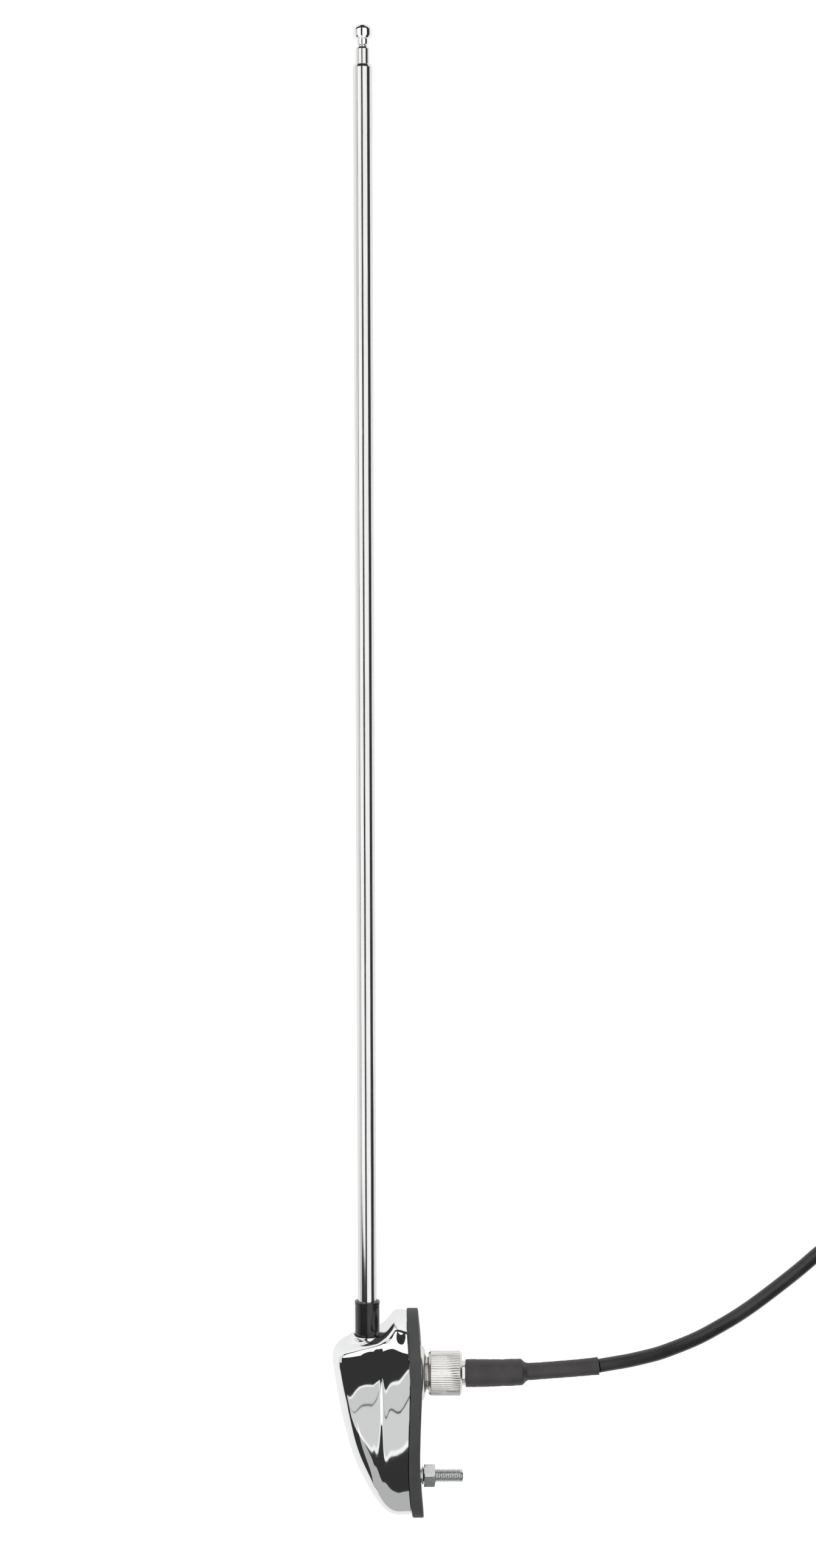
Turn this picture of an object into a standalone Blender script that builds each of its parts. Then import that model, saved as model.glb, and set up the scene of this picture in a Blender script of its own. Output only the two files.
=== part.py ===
"""Side-mount telescopic radio aerial: chromed base, rubber pad, three-section mast and coaxial lead.

Frame: metres. The origin is on the back face of the rubber pad, the face that meets the panel, half-way
between the connector's axis and the stud's axis. +X points out of that face, into the panel. +Y runs along the
mast to its tip. +Z is up: the aerial lies on its side, and the edge of its pad rests on the table.
"""

import math

import bmesh
import bpy

MM = 0.001

# Fastening line
CONNECTOR_Y = 18.75 * MM
STUD_Y = -18.75 * MM

# Rubber pad and the outline that it shares with the base: two circles joined by their tangents
PAD_THICKNESS = 4.0 * MM
PAD_HEAD_Y = 23.9 * MM
PAD_HEAD_RADIUS = 18.0 * MM
PAD_TAIL_Y = -26.85 * MM
PAD_TAIL_RADIUS = 7.0 * MM
TABLE_Z = -PAD_HEAD_RADIUS
FIT_GAP = 0.3 * MM

# Back plate, let into the base behind the pad
PLATE_THICKNESS = 2.0 * MM
PLATE_INSET = 4.6 * MM
PLATE_BACK_X = -4.5 * MM

# Mast
MAST_X = -19.0 * MM
COLLAR_RADIUS = 6.1 * MM
COLLAR_TOP_Y = 33.2 * MM
COLLAR_POINT_X = -12.6 * MM
SLEEVE_RADIUS = 4.35 * MM
SLEEVE_TOP_Y = 45.25 * MM
SLEEVE_FOOT_Y = 14.0 * MM
OUTER_TUBE_RADIUS = 3.35 * MM
OUTER_TUBE_BORE = 2.9 * MM
OUTER_TUBE_FOOT_Y = 17.5 * MM
OUTER_TUBE_TOP_Y = 476.05 * MM
MIDDLE_TUBE_RADIUS = 2.43 * MM
MIDDLE_TUBE_BORE = 2.03 * MM
MIDDLE_TUBE_FOOT_Y = 32.0 * MM
MIDDLE_TUBE_TOP_Y = 481.85 * MM
ROD_RADIUS = 1.7 * MM
ROD_FOOT_Y = 40.0 * MM
KNOB_RADIUS = 3.4 * MM
KNOB_NECK_RADIUS = 2.15 * MM
KNOB_FOOT_Y = 482.55 * MM
KNOB_TOP_Y = 489.55 * MM

# Connector, along X on CONNECTOR_Y
STEM_RADIUS = 5.85 * MM
STEM_NECK_RADIUS = 4.9 * MM
DOME_RADIUS = 9.8 * MM
COUPLING_RADIUS = 7.9 * MM
COUPLING_START_X = 2.7 * MM
COUPLING_END_X = 14.6 * MM
SHRINK_START_X = 15.9 * MM

# Mounting stud and its nut
STUD_RADIUS = 2.45 * MM
STUD_TIP_X = 14.9 * MM
STUD_FOOT_X = -15.0 * MM
NUT_RADIUS = 4.5 * MM

# Lead
LEAD_RADIUS = 2.475 * MM
TURN_PITCH = 5.05 * MM
COIL_CENTRE = (186.0 * MM, 48.0 * MM)
COIL_OUTER_TURN = 36.0 * MM
COIL_TURNS_ACROSS = 3
COIL_LIFT = 0.7 * MM

# The base's ribs, front to back, in mm: depth x, top y, bottom y, half width, squareness of the top
BASE_RIBS = (
    (-31.05, 25.6, 24.0, 1.2, 2.0),
    (-30.9, 26.6, 22.0, 3.6, 2.6),
    (-30.4, 27.4, 17.8, 6.0, 3.4),
    (-29.5, 28.3, 11.8, 8.0, 4.0),
    (-28.2, 29.1, 4.7, 9.4, 4.6),
    (-26.5, 29.8, -2.5, 10.3, 5.0),
    (-24.5, 30.4, -9.7, 11.0, 5.0),
    (-21.7, 31.3, -16.8, 11.5, 5.0),
    (-18.0, 32.4, -24.0, 11.9, 5.0),
    (-14.5, 33.8, -29.2, 12.1, 4.0),
    (-12.8, 35.5, -30.9, 12.3, 3.2),
    (-11.3, 37.2, -32.2, 12.7, 2.6),
    (-10.3, 38.5, -32.9, 13.1, 2.3),
    (-9.3, 40.2, -33.0, 13.6, 2.1),
    (-7.5, 40.7, -33.0, 14.7, 2.0),
    (-4.3, 40.7, -33.0, 16.8, 2.0),
)
CAVITY_RIBS = (
    (-27.6, 22.0, 8.0, 5.5, 3.0),
    (-27.0, 23.0, 4.0, 7.2, 3.0),
    (-25.0, 24.0, -4.0, 8.2, 4.0),
    (-22.0, 24.0, -10.0, 9.0, 4.0),
    (-18.0, 24.0, -13.0, 9.4, 4.0),
    (-14.3, 24.0, -13.0, 9.8, 4.0),
    (-13.0, 32.0, -13.0, 10.0, 3.0),
    (-11.0, 34.6, -13.0, 10.5, 2.6),
    (-9.0, 38.0, -13.0, 11.2, 2.2),
    (-4.0, 38.2, -13.0, 12.2, 2.2),
)
WIDEST_SHARE = 0.77
TAIL_TAPER = 0.64
TAPER_POWER = 1.25

# The lead's route from the end of its heat-shrink sleeve to the coil, and from the coil to its plug, in mm
LEAD_ROUTE = (
    (63.5, 20.5, -2.7), (69.0, 21.1, -3.9), (74.0, 21.6, -5.1), (79.5, 22.4, -6.5), (85.0, 23.4, -7.9),
    (90.0, 24.7, -9.4), (95.5, 26.4, -10.9), (101.0, 28.5, -12.2), (106.0, 30.9, -13.3), (111.5, 33.8, -14.3),
    (117.0, 37.2, -14.9), (122.0, 40.7, -15.3), (127.0, 44.5, -15.5), (132.5, 48.9, -15.5), (138.0, 53.5, -15.5),
    (142.5, 57.5, -15.5), (146.8, 61.3, -15.4),
)
TAIL_ROUTE = (
    (222.0, 26.5, -10.9), (222.0, 21.0, -11.8), (221.8, 15.0, -12.5), (221.5, 9.0, -12.75), (221.4, 4.0, -12.75),
)


def clear_scene():
    for thing in list(bpy.data.objects):
        bpy.data.objects.remove(thing, do_unlink=True)


def collection(name):
    made = bpy.data.collections.new(name)
    bpy.context.scene.collection.children.link(made)
    return made


def finish(name, colour, roughness, metallic):
    """A Principled material."""
    material = bpy.data.materials.new(name)
    material.use_nodes = True
    shader = material.node_tree.nodes["Principled BSDF"]
    shader.inputs["Base Color"].default_value = (*colour, 1.0)
    shader.inputs["Roughness"].default_value = roughness
    shader.inputs["Metallic"].default_value = metallic
    return material


def empty(name, place=(0, 0, 0), parent=None):
    marker = bpy.data.objects.new(name, None)
    marker.location = place
    marker.parent = parent
    AERIAL.objects.link(marker)
    return marker


def add(name, data, material, place=(0, 0, 0), turn=(0, 0, 0), parent=None):
    """A named sub-part of the aerial."""
    piece = bpy.data.objects.new(name, data)
    data.materials.append(material)
    piece.location = place
    piece.rotation_euler = turn
    piece.parent = parent
    AERIAL.objects.link(piece)
    return piece


def as_cutter(piece):
    AERIAL.objects.unlink(piece)
    CUTTERS.objects.link(piece)
    piece.hide_render = True
    piece.display_type = "WIRE"
    return piece


def boolean(piece, other, operation="DIFFERENCE"):
    cut = piece.modifiers.new(operation.title() + " " + other.name, "BOOLEAN")
    cut.object = other
    cut.operation = operation
    cut.solver = "EXACT"


ALONG_X = (0, math.pi / 2, 0)
ALONG_Y = (-math.pi / 2, 0, 0)
AGAINST_Y = (math.pi / 2, 0, 0)
UPRIGHT = (0, 0, 0)
PLATE_TURN = (math.pi / 2, 0, math.pi / 2)


def turned(name, profile, material, place, turn, parent=None, hollow=False, steps=32):
    """A turned piece. The profile's (radius, height) points in metres run down its outer side."""
    mesh = bpy.data.meshes.new(name)
    points = [(radius, 0, height) for radius, height in profile]
    edges = [(i, i + 1) for i in range(len(points) - 1)]
    if hollow:
        edges.append((len(points) - 1, 0))
    mesh.from_pydata(points, edges, [])
    piece = add(name, mesh, material, place, turn, parent)
    screw = piece.modifiers.new("Turn", "SCREW")
    screw.steps = screw.render_steps = steps
    screw.use_merge_vertices = True
    screw.merge_threshold = 0.00001
    screw.use_smooth_shade = True
    return piece


def drum(name, radius, low, high, material, place, turn, parent=None, chamfer=0.0, steps=32):
    """A solid cylinder between two heights, chamfered at both ends."""
    side = [(radius, high - chamfer), (radius, low + chamfer)]
    if chamfer:
        side = [(radius - chamfer, high), *side, (radius - chamfer, low)]
    return turned(name, [(0, high), *side, (0, low)], material, place, turn, parent, steps=steps)


def pipe(name, radius, bore, low, high, material, place, turn, parent=None, steps=32):
    """A plain tube between two heights."""
    profile = [(radius, high), (radius, low), (bore, low), (bore, high)]
    return turned(name, profile, material, place, turn, parent, hollow=True, steps=steps)


def hexagon(name, radius, bore, low, high, material, place, parent=None, lean=0.0, turn=ALONG_X):
    """A hexagonal nut with chamfered corners, as a six-sided block cut by a turned bore."""
    block = bmesh.new()
    bmesh.ops.create_cone(
        block, cap_ends=True, segments=6, radius1=radius, radius2=radius, depth=high - low
    )
    mesh = bpy.data.meshes.new(name)
    block.to_mesh(mesh)
    block.free()
    for vertex in mesh.vertices:
        vertex.co.z += (low + high) / 2
    nut = add(name, mesh, material, place, turn, parent)
    nut.rotation_euler.rotate_axis("Z", lean)
    mouth = bore + 0.3 * MM
    reach = 1.0 * MM
    cutter = [(mouth, high + reach), (mouth, high), (bore, high - 0.3 * MM), (bore, low + 0.3 * MM)]
    cutter += [(mouth, low), (mouth, low - reach)]
    cutter = [(0, high + reach), *cutter, (0, low - reach)]
    boolean(nut, as_cutter(turned(name + "_bore", cutter, material, place, turn, parent)))
    corner = [(radius - 0.45 * MM, high), (radius, high - 0.35 * MM), (radius, low + 0.35 * MM)]
    corner = [(0, high), *corner, (radius - 0.45 * MM, low), (0, low)]
    round_off = as_cutter(turned(name + "_corners", corner, material, place, turn, parent, steps=48))
    boolean(nut, round_off, "INTERSECT")
    return nut


def teardrop(inset, steps=20):
    """The pad's outline moved inwards: (y, z) round the head's arc and then round the tail's."""
    head, tail = PAD_HEAD_RADIUS - inset, PAD_TAIL_RADIUS - inset
    lean = math.asin((head - tail) / (PAD_HEAD_Y - PAD_TAIL_Y))
    outline = []
    for radius, centre, start, sweep in (
        (head, PAD_HEAD_Y, -math.pi / 2 - lean, math.pi + 2 * lean),
        (tail, PAD_TAIL_Y, math.pi / 2 + lean, math.pi - 2 * lean),
    ):
        for i in range(steps + 1):
            angle = start + sweep * i / steps
            outline.append((centre + radius * math.cos(angle), radius * math.sin(angle)))
    return outline


def circle(centre_y, radius, steps=32):
    angles = [2 * math.pi * i / steps for i in range(steps)]
    return [(centre_y + radius * math.cos(a), radius * math.sin(a)) for a in angles]


def plate(name, outlines, low_x, high_x, material):
    """A flat plate across X. The first outline is its edge and the others are holes, in (y, z)."""
    flat = bpy.data.curves.new(name, "CURVE")
    flat.dimensions = "2D"
    flat.fill_mode = "BOTH"
    flat.extrude = (high_x - low_x) / 2
    for outline in outlines:
        spline = flat.splines.new("POLY")
        spline.points.add(len(outline) - 1)
        spline.use_cyclic_u = True
        for point, (y, z) in zip(spline.points, outline):
            point.co = (y, z, 0, 1)
    return add(name, flat, material, ((low_x + high_x) / 2, 0, 0), PLATE_TURN)


def shield_ring(top, bottom, half_width, squareness, steps=9):
    """One rib's outline in (y, z): a superellipse above its widest level, a rounded taper below it."""
    widest = bottom + WIDEST_SHARE * (top - bottom)
    side = []
    for i in range(steps + 1):
        angle = math.pi / 2 * (1 - i / steps)
        rise = math.sin(angle) ** (2 / squareness)
        across = math.cos(angle) ** (2 / squareness) if i else 0.0
        side.append((widest + rise * (top - widest), across * half_width))
    for i in range(1, steps + 1):
        share = math.sin(math.pi / 2 * i / steps)
        across = (1 - TAIL_TAPER * share**TAPER_POWER) * math.sqrt(max(0.0, 1 - share**8))
        side.append((widest - share * (widest - bottom), across * half_width))
    return side + [(y, -z) for y, z in side[-2:0:-1]]


def lofted(name, ribs, material):
    """A closed solid through ribs of (x, top, bottom, half width, squareness) in mm, front to back."""
    body = bmesh.new()
    rings = []
    for x, *shape in ribs:
        top, bottom, half_width, squareness = shape
        outline = shield_ring(top, bottom, half_width, squareness)
        rings.append([body.verts.new((x * MM, y * MM, z * MM)) for y, z in outline])
    count = len(rings[0])
    for ring, following in zip(rings, rings[1:]):
        for i in range(count):
            j = (i + 1) % count
            body.faces.new((ring[i], ring[j], following[j], following[i]))
    body.faces.new(rings[0])
    body.faces.new(rings[-1])
    bmesh.ops.recalc_face_normals(body, faces=body.faces)
    mesh = bpy.data.meshes.new(name)
    body.to_mesh(mesh)
    body.free()
    mesh.shade_smooth()
    return add(name, mesh, material)


def smooth_route(route, step):
    """Points a step apart on the Catmull-Rom curve through a route given in mm."""
    route = [tuple(value * MM for value in point) for point in route]
    ends = [route[0], *route, route[-1]]
    fine = []
    for before, start, end, after in zip(ends, ends[1:], ends[2:], ends[3:]):
        for i in range(16):
            t = i / 16
            weights = (
                -0.5 * t + t**2 - 0.5 * t**3,
                1 - 2.5 * t**2 + 1.5 * t**3,
                0.5 * t + 2 * t**2 - 1.5 * t**3,
                -0.5 * t**2 + 0.5 * t**3,
            )
            corners = (before, start, end, after)
            fine.append(tuple(sum(w * c[k] for w, c in zip(weights, corners)) for k in range(3)))
    fine.append(route[-1])
    spaced, gone = [fine[0]], 0.0
    for start, end in zip(fine, fine[1:]):
        gone += math.dist(start, end)
        if gone >= step:
            spaced.append(end)
            gone = 0.0
    if gone < step / 2:
        spaced.pop()
    return [*spaced, fine[-1]]


def tube(name, points, radius, material, widths=None, resolution=3):
    """A round tube through points in metres. widths scales its radius point by point."""
    curve = bpy.data.curves.new(name, "CURVE")
    curve.dimensions = "3D"
    curve.bevel_depth = radius
    curve.bevel_resolution = resolution
    curve.use_fill_caps = True
    spline = curve.splines.new("POLY")
    spline.points.add(len(points) - 1)
    for i, place in enumerate(points):
        spline.points[i].co = (*place, 1)
        spline.points[i].radius = widths[i] if widths else 1.0
    return add(name, curve, material)


def mesh_of(piece):
    """The piece made a mesh, so that it can be cut."""
    bpy.context.view_layer.update()
    graph = bpy.context.evaluated_depsgraph_get()
    mesh = bpy.data.meshes.new_from_object(piece.evaluated_get(graph))
    welded = bmesh.new()
    welded.from_mesh(mesh)
    bmesh.ops.remove_doubles(welded, verts=welded.verts, dist=0.000001)
    bmesh.ops.recalc_face_normals(welded, faces=welded.faces)
    welded.to_mesh(mesh)
    welded.free()
    name, matrix = piece.name, piece.matrix_world.copy()
    bpy.data.objects.remove(piece)
    solid = bpy.data.objects.new(name, mesh)
    solid.matrix_world = matrix
    AERIAL.objects.link(solid)
    return solid


def make_base():
    """The chromed casting, hollow behind and open at the back, with a boss for the mast on its shoulder."""
    housing = lofted("housing", BASE_RIBS, CHROME)
    collar_base = 24.5 * MM
    collar = bmesh.new()
    lean = math.acos(COLLAR_RADIUS / (COLLAR_POINT_X - MAST_X + 1.6 * MM))
    sweep = 2 * (math.pi - lean)
    outline = []
    for i in range(33):
        angle = lean + sweep * i / 32
        outline.append((MAST_X + COLLAR_RADIUS * math.cos(angle), COLLAR_RADIUS * math.sin(angle)))
    outline.append((COLLAR_POINT_X, 0.0))
    ring = [collar.verts.new((x, collar_base, z)) for x, z in outline]
    face = collar.faces.new(ring)
    grown = bmesh.ops.extrude_face_region(collar, geom=[face])
    for vertex in [v for v in grown["geom"] if isinstance(v, bmesh.types.BMVert)]:
        vertex.co.y = COLLAR_TOP_Y
    bmesh.ops.recalc_face_normals(collar, faces=collar.faces)
    mesh = bpy.data.meshes.new("collar")
    collar.to_mesh(mesh)
    collar.free()
    boolean(housing, as_cutter(add("collar", mesh, CHROME)), "UNION")

    recess_low = PLATE_BACK_X - PLATE_THICKNESS - FIT_GAP
    recess = mesh_of(plate("plate_recess", [teardrop(PLATE_INSET - FIT_GAP)], recess_low, 0, CHROME))
    boolean(housing, as_cutter(recess))
    boolean(housing, as_cutter(lofted("cavity", CAVITY_RIBS, CHROME)))
    sleeve_bore = drum(
        "sleeve_bore", SLEEVE_RADIUS + FIT_GAP, 20 * MM, 40 * MM, CHROME, (MAST_X, 0, 0), ALONG_Y
    )
    boolean(housing, as_cutter(sleeve_bore))
    stud_hole = drum(
        "stud_hole", STUD_RADIUS + FIT_GAP, STUD_FOOT_X - FIT_GAP, 0, CHROME, (0, STUD_Y, 0), ALONG_X
    )
    boolean(housing, as_cutter(stud_hole))

    holes = [circle(CONNECTOR_Y, DOME_RADIUS + FIT_GAP), circle(STUD_Y, NUT_RADIUS + FIT_GAP)]
    plate("rubber_pad", [teardrop(0), *holes], -PAD_THICKNESS, 0, RUBBER)
    holes = [circle(CONNECTOR_Y, STEM_NECK_RADIUS + FIT_GAP), circle(STUD_Y, STUD_RADIUS + FIT_GAP)]
    plate(
        "back_plate", [teardrop(PLATE_INSET), *holes], PLATE_BACK_X - PLATE_THICKNESS, PLATE_BACK_X, ZINC
    )


def make_mast_foot():
    """The insulating sleeve, and what holds the mast in it and joins it to the connector."""
    foot = (MAST_X, 0, 0)
    floor = SLEEVE_FOOT_Y + 2.6 * MM
    bore = OUTER_TUBE_RADIUS + 0.1 * MM
    flange_top = 23.3 * MM
    sleeve = [
        (SLEEVE_RADIUS - 0.3 * MM, SLEEVE_TOP_Y),
        (SLEEVE_RADIUS, SLEEVE_TOP_Y - 0.3 * MM),
        (SLEEVE_RADIUS, flange_top),
        (5.6 * MM, flange_top),
        (5.6 * MM, flange_top - 1.8 * MM),
        (SLEEVE_RADIUS, flange_top - 1.8 * MM),
        (SLEEVE_RADIUS, SLEEVE_FOOT_Y),
        (1.8 * MM, SLEEVE_FOOT_Y),
        (1.8 * MM, floor),
        (bore, floor),
        (bore, SLEEVE_TOP_Y),
    ]
    turned("insulating_sleeve", sleeve, BLACK_PLASTIC, foot, ALONG_Y, hollow=True)
    clip_top = flange_top - 1.8 * MM - FIT_GAP
    clip_low = clip_top - 0.7 * MM
    pipe("sleeve_clip", 5.2 * MM, SLEEVE_RADIUS + 0.15 * MM, clip_low, clip_top, STEEL, foot, ALONG_Y)
    plug = [
        (0, 28 * MM),
        (2.4 * MM, 28 * MM),
        (2.8 * MM, 27.6 * MM),
        (2.8 * MM, 17.35 * MM),
        (3.3 * MM, 17.35 * MM),
        (3.3 * MM, 16.8 * MM),
        (1.5 * MM, 16.8 * MM),
        (1.5 * MM, 8.4 * MM),
        (1.2 * MM, 8.0 * MM),
        (0, 8.0 * MM),
    ]
    turned("mast_foot_plug", plug, BRASS, foot, ALONG_Y)
    hexagon("foot_nut", 3.2 * MM, 1.65 * MM, 10.2 * MM, 12.7 * MM, ZINC, foot, turn=ALONG_Y)

    low, thick, width = 13.0 * MM, 0.6 * MM, 6.0 * MM
    right, top = -12.9 * MM, CONNECTOR_Y + 2.4 * MM
    left = MAST_X - 3.2 * MM
    bend = [(left, low), (right, low), (right, top), (right - thick, top)]
    bend += [(right - thick, low + thick), (left, low + thick)]
    strip = bpy.data.curves.new("contact_strip", "CURVE")
    strip.dimensions = "2D"
    strip.fill_mode = "BOTH"
    strip.extrude = width / 2
    spline = strip.splines.new("POLY")
    spline.points.add(len(bend) - 1)
    spline.use_cyclic_u = True
    for point, (x, y) in zip(spline.points, bend):
        point.co = (x, y, 0, 1)
    strip = mesh_of(add("contact_strip", strip, BRASS))
    hole = drum("strip_hole", 1.8 * MM, low - 1 * MM, low + 1.6 * MM, BRASS, foot, ALONG_Y, steps=24)
    boolean(strip, as_cutter(hole))


def make_mast():
    """Three telescopic sections. The two that slide hang on empties on the mast's axis."""
    foot = (MAST_X, 0, 0)
    lip, chamfer = 1.5 * MM, 0.5 * MM
    outer = [
        (OUTER_TUBE_RADIUS - chamfer, OUTER_TUBE_TOP_Y),
        (OUTER_TUBE_RADIUS, OUTER_TUBE_TOP_Y - 2 * chamfer),
        (OUTER_TUBE_RADIUS, OUTER_TUBE_FOOT_Y),
        (OUTER_TUBE_BORE, OUTER_TUBE_FOOT_Y),
        (OUTER_TUBE_BORE, OUTER_TUBE_TOP_Y - lip),
        (MIDDLE_TUBE_RADIUS + 0.17 * MM, OUTER_TUBE_TOP_Y - lip + 0.3 * MM),
        (MIDDLE_TUBE_RADIUS + 0.17 * MM, OUTER_TUBE_TOP_Y),
    ]
    turned("mast_outer_tube", outer, STAINLESS, foot, ALONG_Y, hollow=True)

    middle = empty("middle_section", foot)
    section = [
        (MIDDLE_TUBE_RADIUS - 0.35 * MM, MIDDLE_TUBE_TOP_Y),
        (MIDDLE_TUBE_RADIUS, MIDDLE_TUBE_TOP_Y - 0.7 * MM),
        (MIDDLE_TUBE_RADIUS, MIDDLE_TUBE_FOOT_Y),
        (MIDDLE_TUBE_BORE, MIDDLE_TUBE_FOOT_Y),
        (MIDDLE_TUBE_BORE, MIDDLE_TUBE_TOP_Y - lip),
        (ROD_RADIUS + 0.12 * MM, MIDDLE_TUBE_TOP_Y - lip + 0.3 * MM),
        (ROD_RADIUS + 0.12 * MM, MIDDLE_TUBE_TOP_Y),
    ]
    turned("mast_middle_tube", section, STAINLESS, (0, 0, 0), ALONG_Y, middle, hollow=True)
    end_plug = [
        (0, MIDDLE_TUBE_FOOT_Y + 6 * MM),
        (1.9 * MM, MIDDLE_TUBE_FOOT_Y + 6 * MM),
        (1.9 * MM, MIDDLE_TUBE_FOOT_Y - FIT_GAP),
        (2.75 * MM, MIDDLE_TUBE_FOOT_Y - FIT_GAP),
        (2.75 * MM, MIDDLE_TUBE_FOOT_Y - 2.3 * MM),
        (0, MIDDLE_TUBE_FOOT_Y - 2.3 * MM),
    ]
    turned("middle_end_plug", end_plug, BRASS, (0, 0, 0), ALONG_Y, middle)
    spring = pipe(
        "middle_friction_sleeve", 2.82 * MM, 2.5 * MM, 33 * MM, 45 * MM, BRASS, (0, 0, 0), ALONG_Y, middle
    )
    boolean(spring, slot_cutter("middle_slot", 39 * MM, 14 * MM, 2.8 * MM, middle))

    rod_group = empty("inner_section", (0, 0, 0), middle)
    shoulder = ROD_FOOT_Y + 7 * MM
    rod = [
        (0, KNOB_FOOT_Y + 3.4 * MM),
        (1.2 * MM, KNOB_FOOT_Y + 3.4 * MM),
        (1.2 * MM, KNOB_FOOT_Y - FIT_GAP),
        (ROD_RADIUS, KNOB_FOOT_Y - FIT_GAP),
        (ROD_RADIUS, shoulder),
        (1.2 * MM, shoulder),
        (1.2 * MM, ROD_FOOT_Y),
        (0, ROD_FOOT_Y),
    ]
    turned("mast_inner_rod", rod, STAINLESS, (0, 0, 0), ALONG_Y, rod_group, steps=24)
    spring = pipe(
        "rod_friction_sleeve", 1.93 * MM, 1.3 * MM, ROD_FOOT_Y + 0.5 * MM, shoulder - FIT_GAP, BRASS,
        (0, 0, 0), ALONG_Y, rod_group, steps=24,
    )
    boolean(spring, slot_cutter("rod_slot", ROD_FOOT_Y + 3.6 * MM, 9 * MM, 1.6 * MM, rod_group))
    under = KNOB_FOOT_Y + 2.0 * MM
    knob = [
        (0, KNOB_TOP_Y),
        (1.6 * MM, KNOB_TOP_Y - 0.2 * MM),
        (2.7 * MM, KNOB_TOP_Y - 0.75 * MM),
        (3.25 * MM, KNOB_TOP_Y - 1.4 * MM),
        (KNOB_RADIUS, KNOB_TOP_Y - 2.0 * MM),
        (KNOB_RADIUS, under + 1.0 * MM),
        (2.85 * MM, under),
        (KNOB_NECK_RADIUS, under),
        (KNOB_NECK_RADIUS, KNOB_FOOT_Y),
        (1.35 * MM, KNOB_FOOT_Y),
        (1.35 * MM, KNOB_FOOT_Y + 3.7 * MM),
        (0, KNOB_FOOT_Y + 3.7 * MM),
    ]
    turned("tip_knob", knob, CHROME, (0, 0, 0), ALONG_Y, rod_group)


def slot_cutter(name, middle_y, length, reach, parent):
    """A block that opens a 0.8 mm slot along one side of a sleeve."""
    block = bmesh.new()
    bmesh.ops.create_cube(block, size=1)
    bmesh.ops.scale(block, vec=(0.8 * MM, length, 2 * reach), verts=block.verts)
    bmesh.ops.translate(block, vec=(0, middle_y, reach), verts=block.verts)
    mesh = bpy.data.meshes.new(name)
    block.to_mesh(mesh)
    block.free()
    return as_cutter(add(name, mesh, BRASS, parent=parent))


def make_connector():
    """The threaded stem that stands out of the base, with the contact inside it."""
    axis = (0, CONNECTOR_Y, 0)
    bore = 3.3 * MM
    stem = [
        (STEM_RADIUS - 0.4 * MM, 10.5 * MM),
        (STEM_RADIUS, 10.1 * MM),
        (STEM_RADIUS, 1.9 * MM),
        (7.4 * MM, 1.7 * MM),
        (9.0 * MM, 1.1 * MM),
        (DOME_RADIUS, 0.1 * MM),
        (DOME_RADIUS, PLATE_BACK_X + FIT_GAP),
        (STEM_NECK_RADIUS, PLATE_BACK_X + FIT_GAP),
        (STEM_NECK_RADIUS, -11 * MM),
        (bore, -11 * MM),
        (bore, 10.5 * MM),
    ]
    turned("connector_stem", stem, NICKEL, axis, ALONG_X, hollow=True)
    hexagon("stem_lock_nut", 8.1 * MM, STEM_NECK_RADIUS + FIT_GAP, -9.3 * MM, -6.8 * MM, ZINC, axis)
    pipe("stem_insulator", 3.0 * MM, 1.9 * MM, -11.5 * MM, 9.8 * MM, WHITE_PLASTIC, axis, ALONG_X)
    socket = [
        (0, 0.8 * MM),
        (0.95 * MM, 0.8 * MM),
        (0.95 * MM, 9.0 * MM),
        (1.6 * MM, 9.0 * MM),
        (1.6 * MM, -12.5 * MM),
        (0, -12.5 * MM),
    ]
    turned("centre_socket", socket, BRASS, axis, ALONG_X, steps=24)


def make_fastening():
    """The stud, and the bush and nut that travel along its thread."""
    axis = (0, STUD_Y, 0)
    stud = [
        (0, STUD_TIP_X),
        (STUD_RADIUS - 0.5 * MM, STUD_TIP_X),
        (STUD_RADIUS, STUD_TIP_X - 0.6 * MM),
        (STUD_RADIUS, STUD_FOOT_X),
        (0, STUD_FOOT_X),
    ]
    turned("mounting_stud", stud, ZINC, axis, ALONG_X, steps=24)
    travel = empty("nut_travel", axis)
    bore = STUD_RADIUS + 0.2 * MM
    bush = [(2.95 * MM, 0.85 * MM), (3.15 * MM, 0.5 * MM), (3.15 * MM, 0.25 * MM), (bore, 0.25 * MM)]
    turned("stud_bush", [*bush, (bore, 0.85 * MM)], ZINC, (0, 0, 0), ALONG_X, travel, True, 24)
    hexagon("hex_nut", NUT_RADIUS, bore, 1.05 * MM, 5.0 * MM, ZINC, (0, 0, 0), travel, math.radians(15))


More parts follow.
